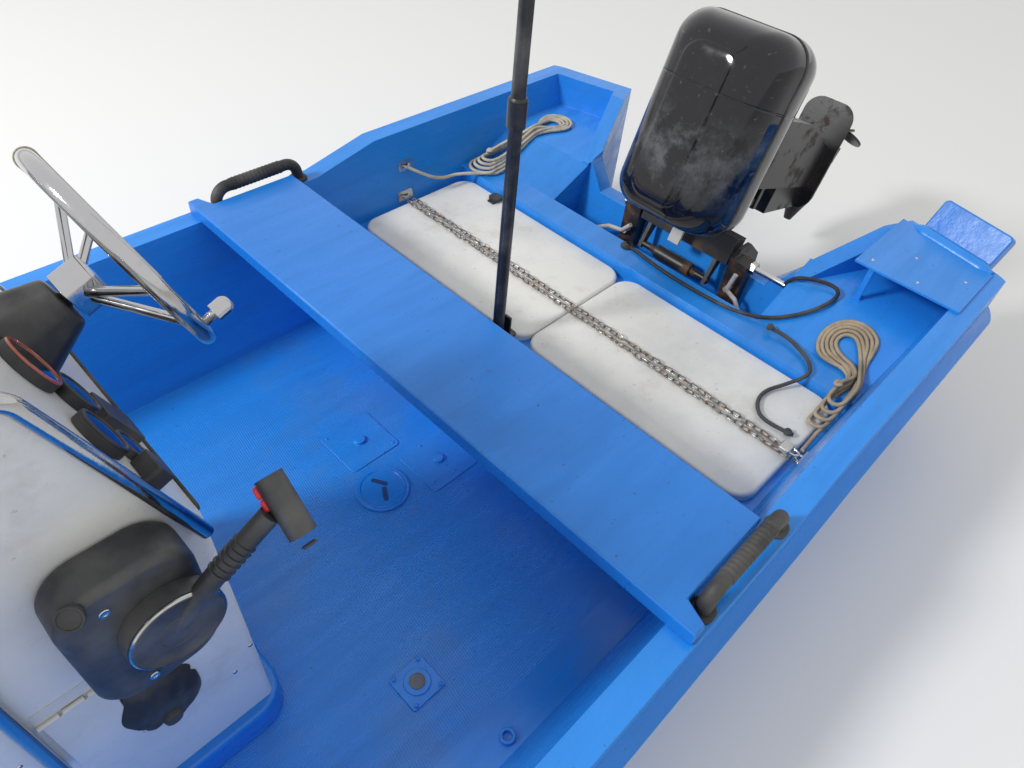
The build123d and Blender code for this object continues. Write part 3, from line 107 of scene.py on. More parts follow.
def times(mat, one, other=0.0, operation="MULTIPLY"):
    """One or two values through a product, sum or other operation."""
    return node(mat, "Math", {0: one, 1: other}, operation=operation).outputs[0]


world = bpy.data.worlds.new("studio")
world.use_nodes = True
bpy.context.scene.world = world
rays = node(world, "LightPath").outputs
seen = times(world, rays["Is Camera Ray"], rays["Is Glossy Ray"], "ADD")
seen = times(world, seen, rays["Is Transmission Ray"], "ADD")
level = node(world, "MapRange", {"Value": seen, "To Min": fill_strength, "To Max": 1.0})
background = world.node_tree.nodes["Background"]
world.node_tree.links.new(level.outputs[0], background.inputs["Strength"])
background.inputs["Color"].default_value = (1, 1, 1, 1)

key_data = bpy.data.lights.new("key", "AREA")
key_data.shape = "DISK"
key_data.size = key_size
key_data.energy = key_watts
key = added("key", key_data)
key.location = key_direction.normalized() * key_distance + key_aim
key.rotation_euler = (-key_direction).to_track_quat("-Z", "Y").to_euler()

floor_data = bpy.data.meshes.new("floor")
floor_corners = [(floor_half * x, floor_half * y, 0) for x, y in ((-1, -1), (1, -1), (1, 1), (-1, 1))]
floor_data.from_pydata(floor_corners, [], [(0, 1, 2, 3)])
floor = added("floor", floor_data)
floor_data.materials.append(finish("studio_floor", floor_colour, 0.9))

# Hull: glass-fibre moulding painted by brush in bright blue, scuffed along its flange and with
# a film of grime towards the waterline. It was laid up in one mould and faired by hand.
hull_blue = (0.010, 0.190, 0.63, 1)
hull_edge_radius = 0.012
grime_colour = (0.045, 0.06, 0.05, 1)
grime_height = 0.16
speck_colour = (0.03, 0.05, 0.08, 1)


def feed(mat, socket, source):
    """Link a socket of the material's shader."""
    mat.node_tree.links.new(source, mat.node_tree.nodes["Principled BSDF"].inputs[socket])


def fed(mat, socket):
    """What is linked to a socket of the material's shader."""
    return mat.node_tree.nodes["Principled BSDF"].inputs[socket].links[0].from_socket


def cloud(mat, scale, detail=4.0, rough=0.55, stretch=(1, 1, 1), turned=(0, 0, 0)):
    """Fractal noise on the object's own coordinates, stretched along its axes."""
    place = node(mat, "TexCoord")
    fit = node(mat, "Mapping", {"Vector": place.outputs["Object"], "Scale": stretch, "Rotation": turned})
    noise = node(mat, "TexNoise", {"Vector": fit.outputs[0], "Scale": scale, "Detail": detail,
                                   "Roughness": rough})
    return noise.outputs["Fac"]


def between(mat, value, low, high, to_low=0.0, to_high=1.0):
    """A value's range mapped on another range and clamped."""
    inputs = {"Value": value, "From Min": low, "From Max": high, "To Min": to_low, "To Max": to_high}
    return node(mat, "MapRange", inputs).outputs[0]


def patchy(mat, noise, *bounds):
    """Fractal noise, given as its scale, detail and roughness, with its range mapped on another."""
    return between(mat, cloud(mat, *noise), *bounds)


def tint(mat, amount, base, over):
    """A colour over another one by an amount from 0 to 1."""
    made = node(mat, "Mix", {0: amount, 6: base, 7: over}, data_type="RGBA")
    return made.outputs[2]


def relief(mat, height, depth, normal=None):
    """Bump of a depth in metres, over another bump if one is given."""
    inputs = {"Height": height, "Distance": depth, "Strength": 1.0}
    if normal is not None:
        inputs["Normal"] = normal
    return node(mat, "Bump", inputs).outputs[0]


def along(mat, direction, origin=(0, 0, 0)):
    """Distance of a surface point along a direction from an origin, in metres."""
    place = node(mat, "TexCoord")
    shifted = node(mat, "VectorMath", {0: place.outputs["Object"], 1: origin}, operation="SUBTRACT")
    reach = node(mat, "VectorMath", {0: shifted.outputs[0], 1: direction}, operation="DOT_PRODUCT")
    return reach.outputs["Value"]


def blue_paint(name, colour, worn=0.5):
    """Brushed gloss paint: streaks along the boat, paler chalky patches and dark specks."""
    mat = finish(name, colour, 0.3)
    pale = tuple(min(1, c * 1.35 + 0.03) for c in colour[:3]) + (1,)
    deep = tuple(c * 0.70 for c in colour[:3]) + (1,)
    patches = patchy(mat, (1.6, 5), 0.35, 0.7)
    streaks = cloud(mat, 22, 6, 0.6, stretch=(0.12, 1, 1))
    specks = patchy(mat, (90, 2), 0.70, 0.76)
    shade = tint(mat, times(mat, patches, 0.35), colour, pale)
    shade = tint(mat, between(mat, streaks, 0.42, 0.75, 0, 0.4), shade, deep)
    shade = tint(mat, times(mat, specks, worn), shade, speck_colour)
    feed(mat, "Base Color", shade)
    feed(mat, "Roughness", between(mat, streaks, 0.3, 0.7, 0.2, 0.40))
    ripple = relief(mat, streaks, 0.0012)
    feed(mat, "Normal", relief(mat, cloud(mat, 160, 3), 0.00025, ripple))
    return mat


def merged_copy(cad_node, name):
    """A copy of a solid's mesh with its loose triangles joined and its flat faces made whole."""
    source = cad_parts[cad_node].data
    made = bmesh.new()
    made.from_mesh(source)
    bmesh.ops.remove_doubles(made, verts=made.verts, dist=1e-5)
    bmesh.ops.dissolve_limit(made, angle_limit=radians(0.6), verts=made.verts, edges=made.edges)
    data = bpy.data.meshes.new(name)
    made.to_mesh(data)
    made.free()
    return data


def placed(name, data, mat, body, angle=35):
    """An object of a mesh with its material, shaded smooth up to an angle, on its body."""
    data.materials.clear()
    data.materials.append(mat)
    data.shade_smooth()
    data.set_sharp_from_angle(angle=radians(angle))
    piece = added(name, data)
    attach(piece, body)
    return piece


def dressed(cad_node, body, mat, edge=0.002, steps=2, angle=35):
    """A solid shown through its merged copy, its sharp edges rounded to a radius."""
    skin = placed(cad_node + "_skin", merged_copy(cad_node, cad_node + "_skin"), mat, body, angle)
    if edge:
        bevel = skin.modifiers.new("rounded", "BEVEL")
        bevel.width = edge
        bevel.segments = steps
        bevel.limit_method = "ANGLE"
        bevel.angle_limit = radians(angle)
        bevel.harden_normals = True
    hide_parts(cad_node)
    return skin


hull_paint = blue_paint("hull_paint", hull_blue)
hull_height = along(hull_paint, (0, 0, 1))
hull_shade = fed(hull_paint, "Base Color")
grime_edge = times(hull_paint, hull_height, times(hull_paint, cloud(hull_paint, 7, 5), 0.12), "ADD")
grime = between(hull_paint, grime_edge, grime_height, -0.05, 0.0, 0.75)
feed(hull_paint, "Base Color", tint(hull_paint, grime, hull_shade, grime_colour))
dressed("hull", "root", hull_paint, hull_edge_radius, 3, 25)

# Inner moulding: rim, linings, decks and a floor with a fine non-slip pattern between smooth
# margins. It is a second moulding set into the hull and painted with it.
deck_blue = (0.012, 0.215, 0.68, 1)
pattern_pitch = 0.0085
pattern_depth = 0.0005
floor_dirt_colour = (0.10, 0.17, 0.24, 1)
floor_height = 0.09
margin_half = 0.60
deck_paint = blue_paint("deck_paint", deck_blue, 0.6)


def non_slip(mat, pitch):
    """Fine raised pattern: the product of two slanted waves of one pitch."""
    waves = [times(mat, times(mat, along(mat, way), 2 * pi / pitch), operation="SINE")
             for way in ((0.8, 0.6, 0), (-0.6, 0.8, 0))]
    return between(mat, times(mat, *waves), -0.3, 0.6)


deck_height = along(deck_paint, (0, 0, 1))
on_floor = between(deck_paint, times(deck_paint, deck_height, floor_height, "SUBTRACT"), 0.004, 0.002)
across_floor = times(deck_paint, along(deck_paint, (0, 1, 0)), operation="ABSOLUTE")
on_field = times(deck_paint, on_floor, between(deck_paint, across_floor, margin_half, margin_half - 0.005))
old_normal = fed(deck_paint, "Normal")
pattern = times(deck_paint, non_slip(deck_paint, pattern_pitch), on_field)
feed(deck_paint, "Normal", relief(deck_paint, pattern, pattern_depth, old_normal))
deck_shade = fed(deck_paint, "Base Color")
dirt_cloud = patchy(deck_paint, (3.2, 7, 0.65), 0.50, 0.72, 0, 0.38)
floor_dirt = times(deck_paint, dirt_cloud, on_floor)
feed(deck_paint, "Base Color", tint(deck_paint, floor_dirt, deck_shade, floor_dirt_colour))
dressed("deck_liner", "root", deck_paint, hull_edge_radius, 3, 25)

# Roll along the port quarter's after edge: a half-round capping in glass fibre, laid on the coaming
# and painted with it.
roll_ends = ((-2.728, 0.560), (-2.668, 0.815))
roll_height = 0.560
roll_radius = 0.024


def quads_of(rows, columns, wrap_rows):
    """Corner numbers of the quads between neighbouring grid points, whose columns form rings."""
    index = np.arange(rows * columns).reshape(rows, columns)
    if wrap_rows:
        index = np.vstack([index, index[:1]])
    index = np.hstack([index, index[:, :1]])
    corners = np.stack([index[:-1, :-1], index[1:, :-1], index[1:, 1:], index[:-1, 1:]], axis=-1)
    return corners.reshape(-1, 4)


def surface(name, grids, mat, body, wrap_rows=False, caps=True, angle=40):
    """A closed skin through grids of points: rows along the piece, columns round it, ends capped."""
    if not isinstance(grids, list):
        grids = [grids]
    points, faces, start = [], [], 0
    for grid in grids:
        rows, columns = grid.shape[:2]
        faces += (quads_of(rows, columns, wrap_rows) + start).tolist()
        if caps and not wrap_rows:
            ring = np.arange(columns)
            faces += [(ring + start).tolist(), (ring[::-1] + start + (rows - 1) * columns).tolist()]
        points.append(grid.reshape(-1, 3))
        start += rows * columns
    data = bpy.data.meshes.new(name)
    data.from_pydata(np.vstack(points), [], faces)
    made = bmesh.new()
    made.from_mesh(data)
    bmesh.ops.remove_doubles(made, verts=made.verts, dist=1e-6)
    bmesh.ops.recalc_face_normals(made, faces=made.faces)
    made.to_mesh(data)
    made.free()
    return placed(name, data, mat, body, angle)


def unit(vectors):
    """The same vectors at a length of one."""
    return vectors / np.linalg.norm(vectors, axis=-1, keepdims=True)


def circle(one, other, sides):
    """Points of a unit circle in the plane of two vectors, or of two rows of vectors."""
    angle = np.linspace(0, 2 * pi, sides, endpoint=False)[:, None]
    return one[..., None, :] * np.cos(angle) + other[..., None, :] * np.sin(angle)


def tube(points, radius, sides=16, reference=(0, 0, 1)):
    """Grid of a bar along a path. The radius is one value, one a point or one a corner of the grid."""
    tangent = unit(np.gradient(points, axis=0))
    side = unit(np.cross(tangent, reference))
    reach = np.asarray(radius, dtype=float)
    reach = np.broadcast_to(reach[:, None] if reach.ndim == 1 else reach, (len(points), sides))
    return points[:, None] + circle(side, np.cross(side, tangent), sides) * reach[:, :, None]


roll_share = np.linspace(0, 1, 24)
roll_line = np.linspace((*roll_ends[0], roll_height), (*roll_ends[1], roll_height), 24)
roll_taper = roll_radius * np.minimum(1, np.sin(pi * np.clip(roll_share, 0.03, 0.97)) * 3) ** 0.5
surface("quarter_roll", tube(roll_line, roll_taper, 24), deck_paint, "root")

# Plank seat: one board sawn from softwood and painted, lying across the gunwales and screwed down,
# its edges worn by boots.
plank_blue = (0.010, 0.175, 0.60, 1)
plank_paint = blue_paint("plank_paint", plank_blue, 0.8)
dressed("plank_seat", "root", plank_paint, 0.003, 2)

# Hatch lids: glass-fibre mouldings in off-white gelcoat over the after lockers, stained, with
# rubbed-in dirt at the edges. They lie in their frames under the chain.
lid_white = (0.74, 0.735, 0.70, 1)
stain_brown = (0.44, 0.39, 0.31, 1)
stain_grey = (0.46, 0.47, 0.48, 1)
gelcoat_speck = (0.25, 0.22, 0.18, 1)


def white_gelcoat(name, colour, stains=0.5, scale=2.4):
    """Old gelcoat: grey and brown stains of two sizes, rubbed-in dirt specks, faint orange peel."""
    mat = finish(name, colour, 0.36)
    grey = patchy(mat, (scale, 7, 0.62), 0.47, 0.72, 0, stains)
    brown = patchy(mat, (scale * 2.7, 8, 0.7), 0.55, 0.75, 0, stains * 0.9)
    specks = patchy(mat, (75, 3, 0.6), 0.66, 0.74, 0, stains * 0.8)
    shade = tint(mat, grey, colour, stain_grey)
    shade = tint(mat, brown, shade, stain_brown)
    shade = tint(mat, specks, shade, gelcoat_speck)
    feed(mat, "Base Color", shade)
    feed(mat, "Roughness", between(mat, grey, 0, stains, 0.30, 0.52))
    feed(mat, "Normal", relief(mat, cloud(mat, 220, 2), 0.00012))
    return mat


lid_gelcoat = white_gelcoat("lid_gelcoat", lid_white, 0.62)
for side in ("port", "stbd"):
    dressed(f"hatch_lid_{side}", "root", lid_gelcoat, 0.002)

# Catch of the starboard lid: a toggle moulded in black plastic on a pressed strap, screwed at both
# ends.
catch_black = (0.018, 0.018, 0.02, 1)
pale_dust = (0.30, 0.29, 0.27, 1)


def uneven(mat, noise, low, high):
    """Roughness that wanders between two values with fractal noise."""
    feed(mat, "Roughness", patchy(mat, noise, 0.3, 0.7, low, high))


def moulded(name, colour, rough=0.45, grain=0.0002, dust=0.25):
    """Moulded plastic: fine grain with pale dust lying in soft patches."""
    mat = finish(name, colour, rough)
    dirt = patchy(mat, (9, 6), 0.45, 0.75, 0, dust)
    feed(mat, "Base Color", tint(mat, dirt, colour, pale_dust))
    uneven(mat, (30, 4), rough - 0.1, rough + 0.12)
    feed(mat, "Normal", relief(mat, cloud(mat, 900, 2), grain))
    return mat


black_plastic = moulded("black_plastic", catch_black)
dressed("hatch_latch", "root", black_plastic, 0.002)

# Chain: galvanised links in two rows over the lids, every other link on edge, rusting where
# they rub. The steel is bent to an oval and welded at one side.
chain_x = -1.851
chain_spread = 0.023
chain_pitch = 0.0215
chain_links = 67
chain_wire = 0.002
link_length = 0.0292
link_width = 0.0150
lid_top = 0.350
flat_link_height = 0.0055
link_lift = 0.001
zinc_grey = (0.27, 0.26, 0.24, 1)
rust_brown = (0.22, 0.11, 0.05, 1)


def oval(length, width, steps=28):
    """A stadium's points about its middle: two half circles joined by straight sides."""
    turn = np.linspace(0, 2 * pi, steps, endpoint=False)
    straight = (length - width) / 2
    return np.stack([
        np.cos(turn) * width / 2 + np.sign(np.cos(turn)) * straight,
        np.sin(turn) * width / 2,
        0 * turn,
    ], axis=-1)


def ring_grid(line, radius, sides):
    """Grid of a closed bar along a flat loop: outward and upward share one circle."""
    nearby = np.roll(line, -1, axis=0) - np.roll(line, 1, axis=0)
    outward = unit(np.cross(nearby, (0, 0, 1)))
    return line[:, None] + radius * circle(outward, np.array((0, 0, 1.0)), sides)


one_link = ring_grid(oval(link_length - 2 * chain_wire, link_width - 2 * chain_wire, 20), chain_wire, 7)
zinc = finish("zinc", zinc_grey, 0.42, metal=0.85)
zinc_rust = patchy(zinc, (38, 5), 0.50, 0.66)
feed(zinc, "Base Color", tint(zinc, zinc_rust, zinc_grey, rust_brown))
feed(zinc, "Metallic", between(zinc, zinc_rust, 0, 1, 0.85, 0.2))
feed(zinc, "Roughness", between(zinc, zinc_rust, 0, 1, 0.34, 0.75))
feed(zinc, "Normal", relief(zinc, cloud(zinc, 420, 3), 0.0004))
chance = np.random.default_rng(7)
link_grids = []
for row in (-1, 1):
    for i in range(chain_links):
        edge_on = (i + (row > 0)) % 2 == 1
        roll = radians(90 if edge_on else 0) + chance.normal(0, 0.25)
        yaw = chance.normal(0, 0.10)
        ways = Matrix.Rotation(radians(90) + yaw, 3, "Z") @ Matrix.Rotation(roll, 3, "X")
        height = lid_top + (link_width / 2 if edge_on else flat_link_height) + link_lift
        middle = (chain_x + row * chain_spread / 2 + chance.normal(0, 0.0009),
                  (i - (chain_links - 1) / 2) * chain_pitch, height)
        link_grids.append(one_link @ np.array(ways).T + np.array(middle))
chain = surface("chain", link_grids, zinc, "root", wrap_rows=True, caps=False)
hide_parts("hatch_chain")

# Eyes on the linings for chain and rope, and the padlock at the chain's port end: stainless
# steel cut and polished, weathered to a soft shine.
steel_grey = (0.50, 0.50, 0.50, 1)
tea_stain = (0.30, 0.20, 0.12, 1)
lock_grey = (0.50, 0.49, 0.46, 1)
lock_middle = (-1.846, 0.708, 0.369)
lock_outline = (0.034, 0.030, 0.006)  # length, width, corner radius, as for every outline below
lock_depth = 0.014
lock_edge = 0.003
shackle_wire = 0.003
shackle_half = 0.010
shackle_reach = 0.022


def bright_steel(name, colour, rough=0.16, spots=0.5):
    """Polished stainless steel: faint scratches and small tea stains."""
    mat = finish(name, colour, rough, metal=1.0)
    scratches = cloud(mat, 120, 4, 0.7, stretch=(1, 0.15, 1))
    stains = patchy(mat, (28, 5), 0.60, 0.72, 0, spots)
    feed(mat, "Base Color", tint(mat, stains, colour, tea_stain))
    feed(mat, "Roughness", times(mat, between(mat, scratches, 0.35, 0.75, rough - 0.05, rough + 0.14),
                                 times(mat, stains, 0.5), "ADD"))
    feed(mat, "Normal", relief(mat, scratches, 0.00008))
    return mat


polished = bright_steel("polished", steel_grey)
for name in ("pad_eye_port", "pad_eye_stbd", "rope_eye"):
    dressed(name, "root", polished, 0.0008)


def rounded(width, height, corner, steps=7):
    """Outline of a rounded rectangle: one arc at each corner, as points about the middle."""
    quarter = np.linspace(0, pi / 2, steps)
    turn = np.concatenate([quarter + k * pi / 2 for k in range(4)])
    signs = np.repeat([(1, 1), (-1, 1), (-1, -1), (1, -1)], steps, axis=0)
    arcs = corner * np.stack([np.cos(turn), np.sin(turn)], axis=-1)
    return signs * (np.array((width, height)) / 2 - corner) + arcs


def slab(middle, across, upward, width, height, corner, layers):
    """Grid of a block: its rounded outline drawn in by each layer's inset, at each layer's rise."""
    across, upward = unit(across), unit(upward)
    outward = np.cross(across, upward)
    rows = []
    for inset, rise in layers:
        line = rounded(width - 2 * inset, height - 2 * inset, max(corner - inset, 0.0004))
        rows.append(np.array(middle) + line[:, :1] * across + line[:, 1:] * upward + rise * outward)
    return np.stack(rows)


def soft_layers(thick, edge, steps=4):
    """Layers of a block whose two rims are quarter rounds of one radius."""
    turn = np.linspace(0, pi / 2, steps)
    low = [(edge * (1 - sin(t)), edge * (1 - cos(t))) for t in turn]
    return low + [(inset, thick - rise) for inset, rise in reversed(low)]


lock_steel = finish("lock_steel", lock_grey, 0.35, metal=0.9)
uneven(lock_steel, (80, 4), 0.28, 0.55)
lock_body = slab(lock_middle, (1, 0, 0), (0, 1, 0), *lock_outline, soft_layers(lock_depth, lock_edge))
surface("padlock", lock_body, lock_steel, "root")
shackle_turn = np.linspace(0, pi, 24)
shackle_line = np.stack([
    lock_middle[0] + shackle_half * np.cos(shackle_turn),
    lock_middle[1] + lock_outline[1] / 2 - 0.002 + shackle_reach * np.sin(shackle_turn),
    lock_middle[2] + lock_depth / 2 + 0 * shackle_turn,
], axis=-1)
surface("padlock_shackle", tube(shackle_line, shackle_wire, 10), polished, "root")

# Grab handles: steel bars in black rubber with moulded finger ridges, on round feet screwed to the
# side decks.
rubber_black = (0.016, 0.016, 0.017, 1)
rubber = moulded("rubber", rubber_black, 0.62, 0.0003, 0.3)
handle_top = 0.570
handle_side = 0.825
handle_reach = (-1.455, -1.295)
handle_length = handle_reach[1] - handle_reach[0]
handle_feet = (("aft", -1.505), ("fore", -1.245))
ridge_pitch = 0.012
ridge_root = 0.0165
ridge_height = 0.0014
cuff_radius = 0.0150
foot_base = 0.512
foot_outline = (0.056, 0.050, 0.024)
foot_layers = ((0, 0), (0, 0.005), (0.004, 0.009), (0.009, 0.010))
for side, y in (("port", handle_side), ("stbd", -handle_side)):
    dressed(f"grab_handle_{side}", "root", rubber, 0)
    grip_line = np.linspace((handle_reach[0], y, handle_top), (handle_reach[1], y, handle_top), 180)
    run = np.linspace(0, handle_length, 180)
    ridges = ridge_root + ridge_height * np.abs(np.sin(pi * run / ridge_pitch))
    ridges[[0, -1]] = cuff_radius
    surface(f"handle_ridges_{side}", tube(grip_line, ridges, 24), rubber, "root")
    for foot, x in handle_feet:
        foot_grid = slab((x, y, foot_base), (1, 0, 0), (0, 1, 0), *foot_outline, foot_layers)
        surface(f"handle_foot_{side}_{foot}", foot_grid, rubber, "root")

# Plinth and console: a blue step moulded up from the floor, and on it the console, a white shell
# with a leaning dash, joined along its foot with sealant.
console_white = (0.76, 0.76, 0.73, 1)
dressed("console_plinth", "root", hull_paint, 0.010, 3)
console_gelcoat = white_gelcoat("console_gelcoat", console_white, 0.42, 3.6)
dressed("console", "root", console_gelcoat, 0.005, 3)
dressed("dash_trim", "root", rubber, 0.002)

# Inspection cover on the console's port face: a moulded flap with a pressed hinge along its top
# edge, fixed by countersunk screws.
cover_white = (0.72, 0.72, 0.69, 1)
cover_gelcoat = white_gelcoat("cover_gelcoat", cover_white, 0.35, 5.0)
dressed("console_cover", "console_cover", cover_gelcoat, 0.002)
dressed("cover_hinge", "root", cover_gelcoat, 0.0008)

# Screws in the console's port face: stainless domed heads driven into the moulding. They hold the
# remote control, cable boot and cover.
console_side = 0.2803
screw_places = ((-0.647, 0.396), (-0.606, 0.345), (-0.300, 0.800), (-0.622, 0.620), (-0.180, 0.340),
                (-0.300, 0.520))
screw_head = ((0, 0.0022), (0.0016, 0.0021), (0.0032, 0.0016), (0.0043, 0.0008), (0.0047, 0))


def turned(profile, centre, axis, steps=32):
    """Grid of a turned piece: each profile point is a circle of that radius at that height."""
    axis = unit(axis)
    aside = unit(np.cross(axis, (0, 0, 1) if abs(axis[2]) < 0.8 else (1, 0, 0)))
    radius, height = np.array([(max(r, 0.00002), h) for r, h in profile]).T
    ring = circle(aside, np.cross(axis, aside), steps)
    return np.array(centre) + radius[:, None, None] * ring[None] + height[:, None, None] * axis


def screws(name, places, axis, mat):
    """Small turned heads of one profile at the given places, all along one axis."""
    surface(name, [turned(screw_head[::-1], place, axis, 16) for place in places], mat, "root")


screws("console_screws", [(x, console_side, z) for x, z in screw_places], (0, 1, 0), polished)

# Gauges on the dash: black housings with a raised rim and a dial behind glass, the first one
# with an amber rim, and their switch panel and box. They are set in holes and nutted from behind.
dash_origin = np.array((-0.656, 0, 0.795))
dash_up = np.array((0.366501, 0, 0.930418))
dash_out = np.array((-0.930418, 0, 0.366501))
# Columns: to port, up the dash, radius, how far it stands out, whether its rim is amber.
gauges = (
    (0.110, 0.250, 0.042, 0.014, True),
    (0.112, 0.171, 0.036, 0.014, False),
    (0.216, 0.190, 0.038, 0.014, False),
    (0.189, 0.108, 0.032, 0.010, False),
)
bezel_profile = ((0.006, 0.0002), (0.006, 0.002), (0.004, 0.0035), (0.0012, 0.003), (0.0002, 0.0012),
                 (0.0002, 0.0002))
glass_black = (0.012, 0.012, 0.014, 1)
amber_bright = (0.42, 0.10, 0.035, 1)
amber_deep = (0.30, 0.045, 0.03, 1)
for name in ("gauges", "switch_panel", "switch_box"):
    dressed(name, "root", black_plastic, 0.0015)
dial_black = finish("dial_black", glass_black, 0.08, coat=1.0, coat_rough=0.03)
uneven(dial_black, (60, 4), 0.05, 0.16)
amber = finish("amber", amber_bright, 0.25, coat=0.6)
amber_cloud = patchy(amber, (30, 4), 0.35, 0.65)
feed(amber, "Base Color", tint(amber, amber_cloud, amber_bright, amber_deep))
for number, (y, rise, radius, deep, warm) in enumerate(gauges):
    centre = dash_origin + dash_up * rise + np.array((0, y, 0))
    bezel = [(radius - inset, deep + out) for inset, out in bezel_profile]
    surface(f"gauge_ring_{number}", turned(bezel, centre, dash_out, 48), amber if warm else black_plastic,
            "root", caps=False)
    dial = [(radius - 0.0062, deep + 0.0002), (radius - 0.0062, deep + 0.0014), (radius * 0.5, deep + 0.0022),
            (0, deep + 0.0025)]
    surface(f"gauge_dial_{number}", turned(dial, centre, dash_out, 48), dial_black, "root")

# Helm: moulded cover over the steering head, and the wheel, bent and welded from polished stainless
# tube on two pairs of spokes, with a wrapped grip and a turned spinner knob.
helm_black = (0.022, 0.022, 0.024, 1)
wheel_grey = (0.46, 0.46, 0.47, 1)
wrap_white = (0.56, 0.51, 0.41, 1)
wrap_worn = (0.40, 0.35, 0.26, 1)
wrap_hollow_dark = (0.26, 0.22, 0.16, 1)
helm_plastic = moulded("helm_plastic", helm_black, 0.38, 0.0002, 0.35)
dressed("helm_cover", "root", helm_plastic, 0.007, 4)
wheel_steel = bright_steel("wheel_steel", wheel_grey, 0.09, 0.25)
for name in ("wheel_hub", "wheel_rim", "wheel_spokes", "spinner_knob"):
    dressed(name, "steering_wheel", wheel_steel, 0.0015 if name == "wheel_hub" else 0)
grip_wrap = finish("grip_wrap", wrap_white, 0.8)
grip_wear = patchy(grip_wrap, (16, 6), 0.42, 0.7, 0, 0.6)
grip_pebble = cloud(grip_wrap, 300, 3, 0.6)
grip_shade = tint(grip_wrap, grip_wear, wrap_white, wrap_worn)
# The wrap is darker where its pebble lies low.
grip_hollows = between(grip_wrap, grip_pebble, 0.5, 0.35, 0, 0.5)
feed(grip_wrap, "Base Color", tint(grip_wrap, grip_hollows, grip_shade, wrap_hollow_dark))
feed(grip_wrap, "Normal", relief(grip_wrap, grip_pebble, 0.0014))
dressed("wheel_grip", "steering_wheel", grip_wrap, 0.0015)

# Rails on the console's corners: stainless tube bent over the dash and polished, its ends
# flattened and bolted.
for side in ("port", "stbd"):
    dressed(f"console_rail_{side}", "root", wheel_steel, 0)

# Remote control: two moulded halves over the gear, with a boss that turns with the lever. The grip
# lies across the lever's end, with a red tilt switch let into its inner face.
remote_grey = (0.028, 0.030, 0.034, 1)
remote_plastic = moulded("remote_plastic", remote_grey, 0.42, 0.0002, 0.3)
dressed("remote_box", "root", remote_plastic, 0.012, 4)
for name in ("throttle_lever", "lever_grip"):
    dressed(name, "throttle_lever", remote_plastic, 0.004, 3)
boss_centre = (-0.552, 0.3783, 0.752)
boss_radius = 0.0655
boss_profile = ((boss_radius, 0), (boss_radius, 0.003), (0.0625, 0.006), (0.060, 0.0058),
                (0.058, 0.0042), (0.030, 0.0046), (0.0295, 0.0054), (0.0275, 0.0054), (0.0270, 0.0046),
                (0, 0.0046))
surface("lever_boss_disc", turned(boss_profile, boss_centre, (0, 1, 0), 64), remote_plastic, "throttle_lever")
rim_profile = ((-0.0002, 0.0012), (0.0016, 0.0014), (0.0016, 0.0036), (-0.0012, 0.0052), (-0.0016, 0.0040))
boss_rim = turned([(boss_radius + beyond, out) for beyond, out in rim_profile], boss_centre, (0, 1, 0), 96)
surface("lever_boss_rim", boss_rim, polished, "throttle_lever", caps=False)
signal_red = (0.72, 0.035, 0.045, 1)
worn_red = (0.40, 0.03, 0.03, 1)
switch_red = finish("switch_red", signal_red, 0.4)
uneven(switch_red, (200, 3), 0.32, 0.55)
switch_wear = patchy(switch_red, (40, 5), 0.5, 0.75, 0, 0.4)
feed(switch_red, "Base Color", tint(switch_red, switch_wear, signal_red, worn_red))
grip_start = np.array((-0.7250, 0.3663, 0.9230))
grip_end = np.array((-0.7230, 0.4363, 0.8680))
grip_radius = 0.020
grip_way = unit(grip_end - grip_start)
switch_out = np.array((0.820, -0.370, -0.441))
switch_across = np.cross(switch_out, grip_way)
switch_rises = (0.0135, 0.0325)
switch_outline = (0.018, 0.022, 0.005)
switch_layers = soft_layers(0.0075, 0.0025)
switch_sunk = 0.003
for number, rise in enumerate(switch_rises):
    middle = grip_start + grip_way * rise + switch_out * (grip_radius - switch_sunk)
    pad = slab(middle, grip_way, switch_across, *switch_outline, switch_layers)
    surface(f"tilt_switch_{number}", pad, switch_red, "throttle_lever")
badge_outline = (0.020, 0.020, 0.004)
badge_sunk = 0.0025
badge_middle = grip_end + grip_way * (grip_radius - badge_sunk)
grip_badge = slab(badge_middle, np.cross(grip_way, (1, 0, 0)), (1, 0, 0), *badge_outline,
                  soft_layers(0.0035, 0.001))
surface("grip_end_badge", grip_badge, black_plastic, "throttle_lever")
stalk_foot = np.array((-0.614, 0.3863, 0.822))
stalk_way = np.array((-0.088, 0.012, 0.070))
rib_profile = ((0.0150, -0.002), (0.0172, -0.001), (0.0172, 0.001), (0.0150, 0.002))
stalk_ribs = [turned(rib_profile, stalk_foot + share * stalk_way, stalk_way, 28)
              for share in np.linspace(0.10, 0.55, 6)]
surface("stalk_ribs", stalk_ribs, remote_plastic, "throttle_lever", caps=False)
remote_bolts = ((-0.492, 0.3522, 0.838), (-0.500, 0.3522, 0.640))
knob_profile = ((0.0075, 0), (0.0075, 0.0012), (0.0065, 0.0022), (0.0035, 0.0022), (0.0030, 0.0012),
                (0, 0.0012))
surface("remote_knobs", [turned(knob_profile, place, (0, 1, 0), 24) for place in remote_bolts],
        polished, "root")
button_profile = ((0.0175, 0), (0.0175, 0.004), (0.0165, 0.0065), (0.0140, 0.0070), (0.0130, 0.0055),
                  (0, 0.0050))
button_place = (-0.462, 0.3500, 0.866)
button_way = (0.35, 0.75, 0.55)
surface("remote_button", turned(button_profile, button_place, button_way, 40), black_plastic, "root")

# Cable boot: a soft rubber cup pushed over the cables' hole in the console's side, its thin skirt
# torn into uneven flaps along the lower edge.
dressed("cable_boot", "root", rubber, 0.006, 3)
boot_middle = (-0.489, console_side, 0.438)
boot_radius = 0.064
boot_tallness = 1.45
boot_fold = 0.0016
# Share of the skirt's reach and how far it stands out there, from the rim to the crown.
boot_rise = ((1.00, 0.0006), (0.985, 0.0030), (0.90, 0.0085), (0.78, 0.0150), (0.60, 0.0215),
             (0.34, 0.0255))
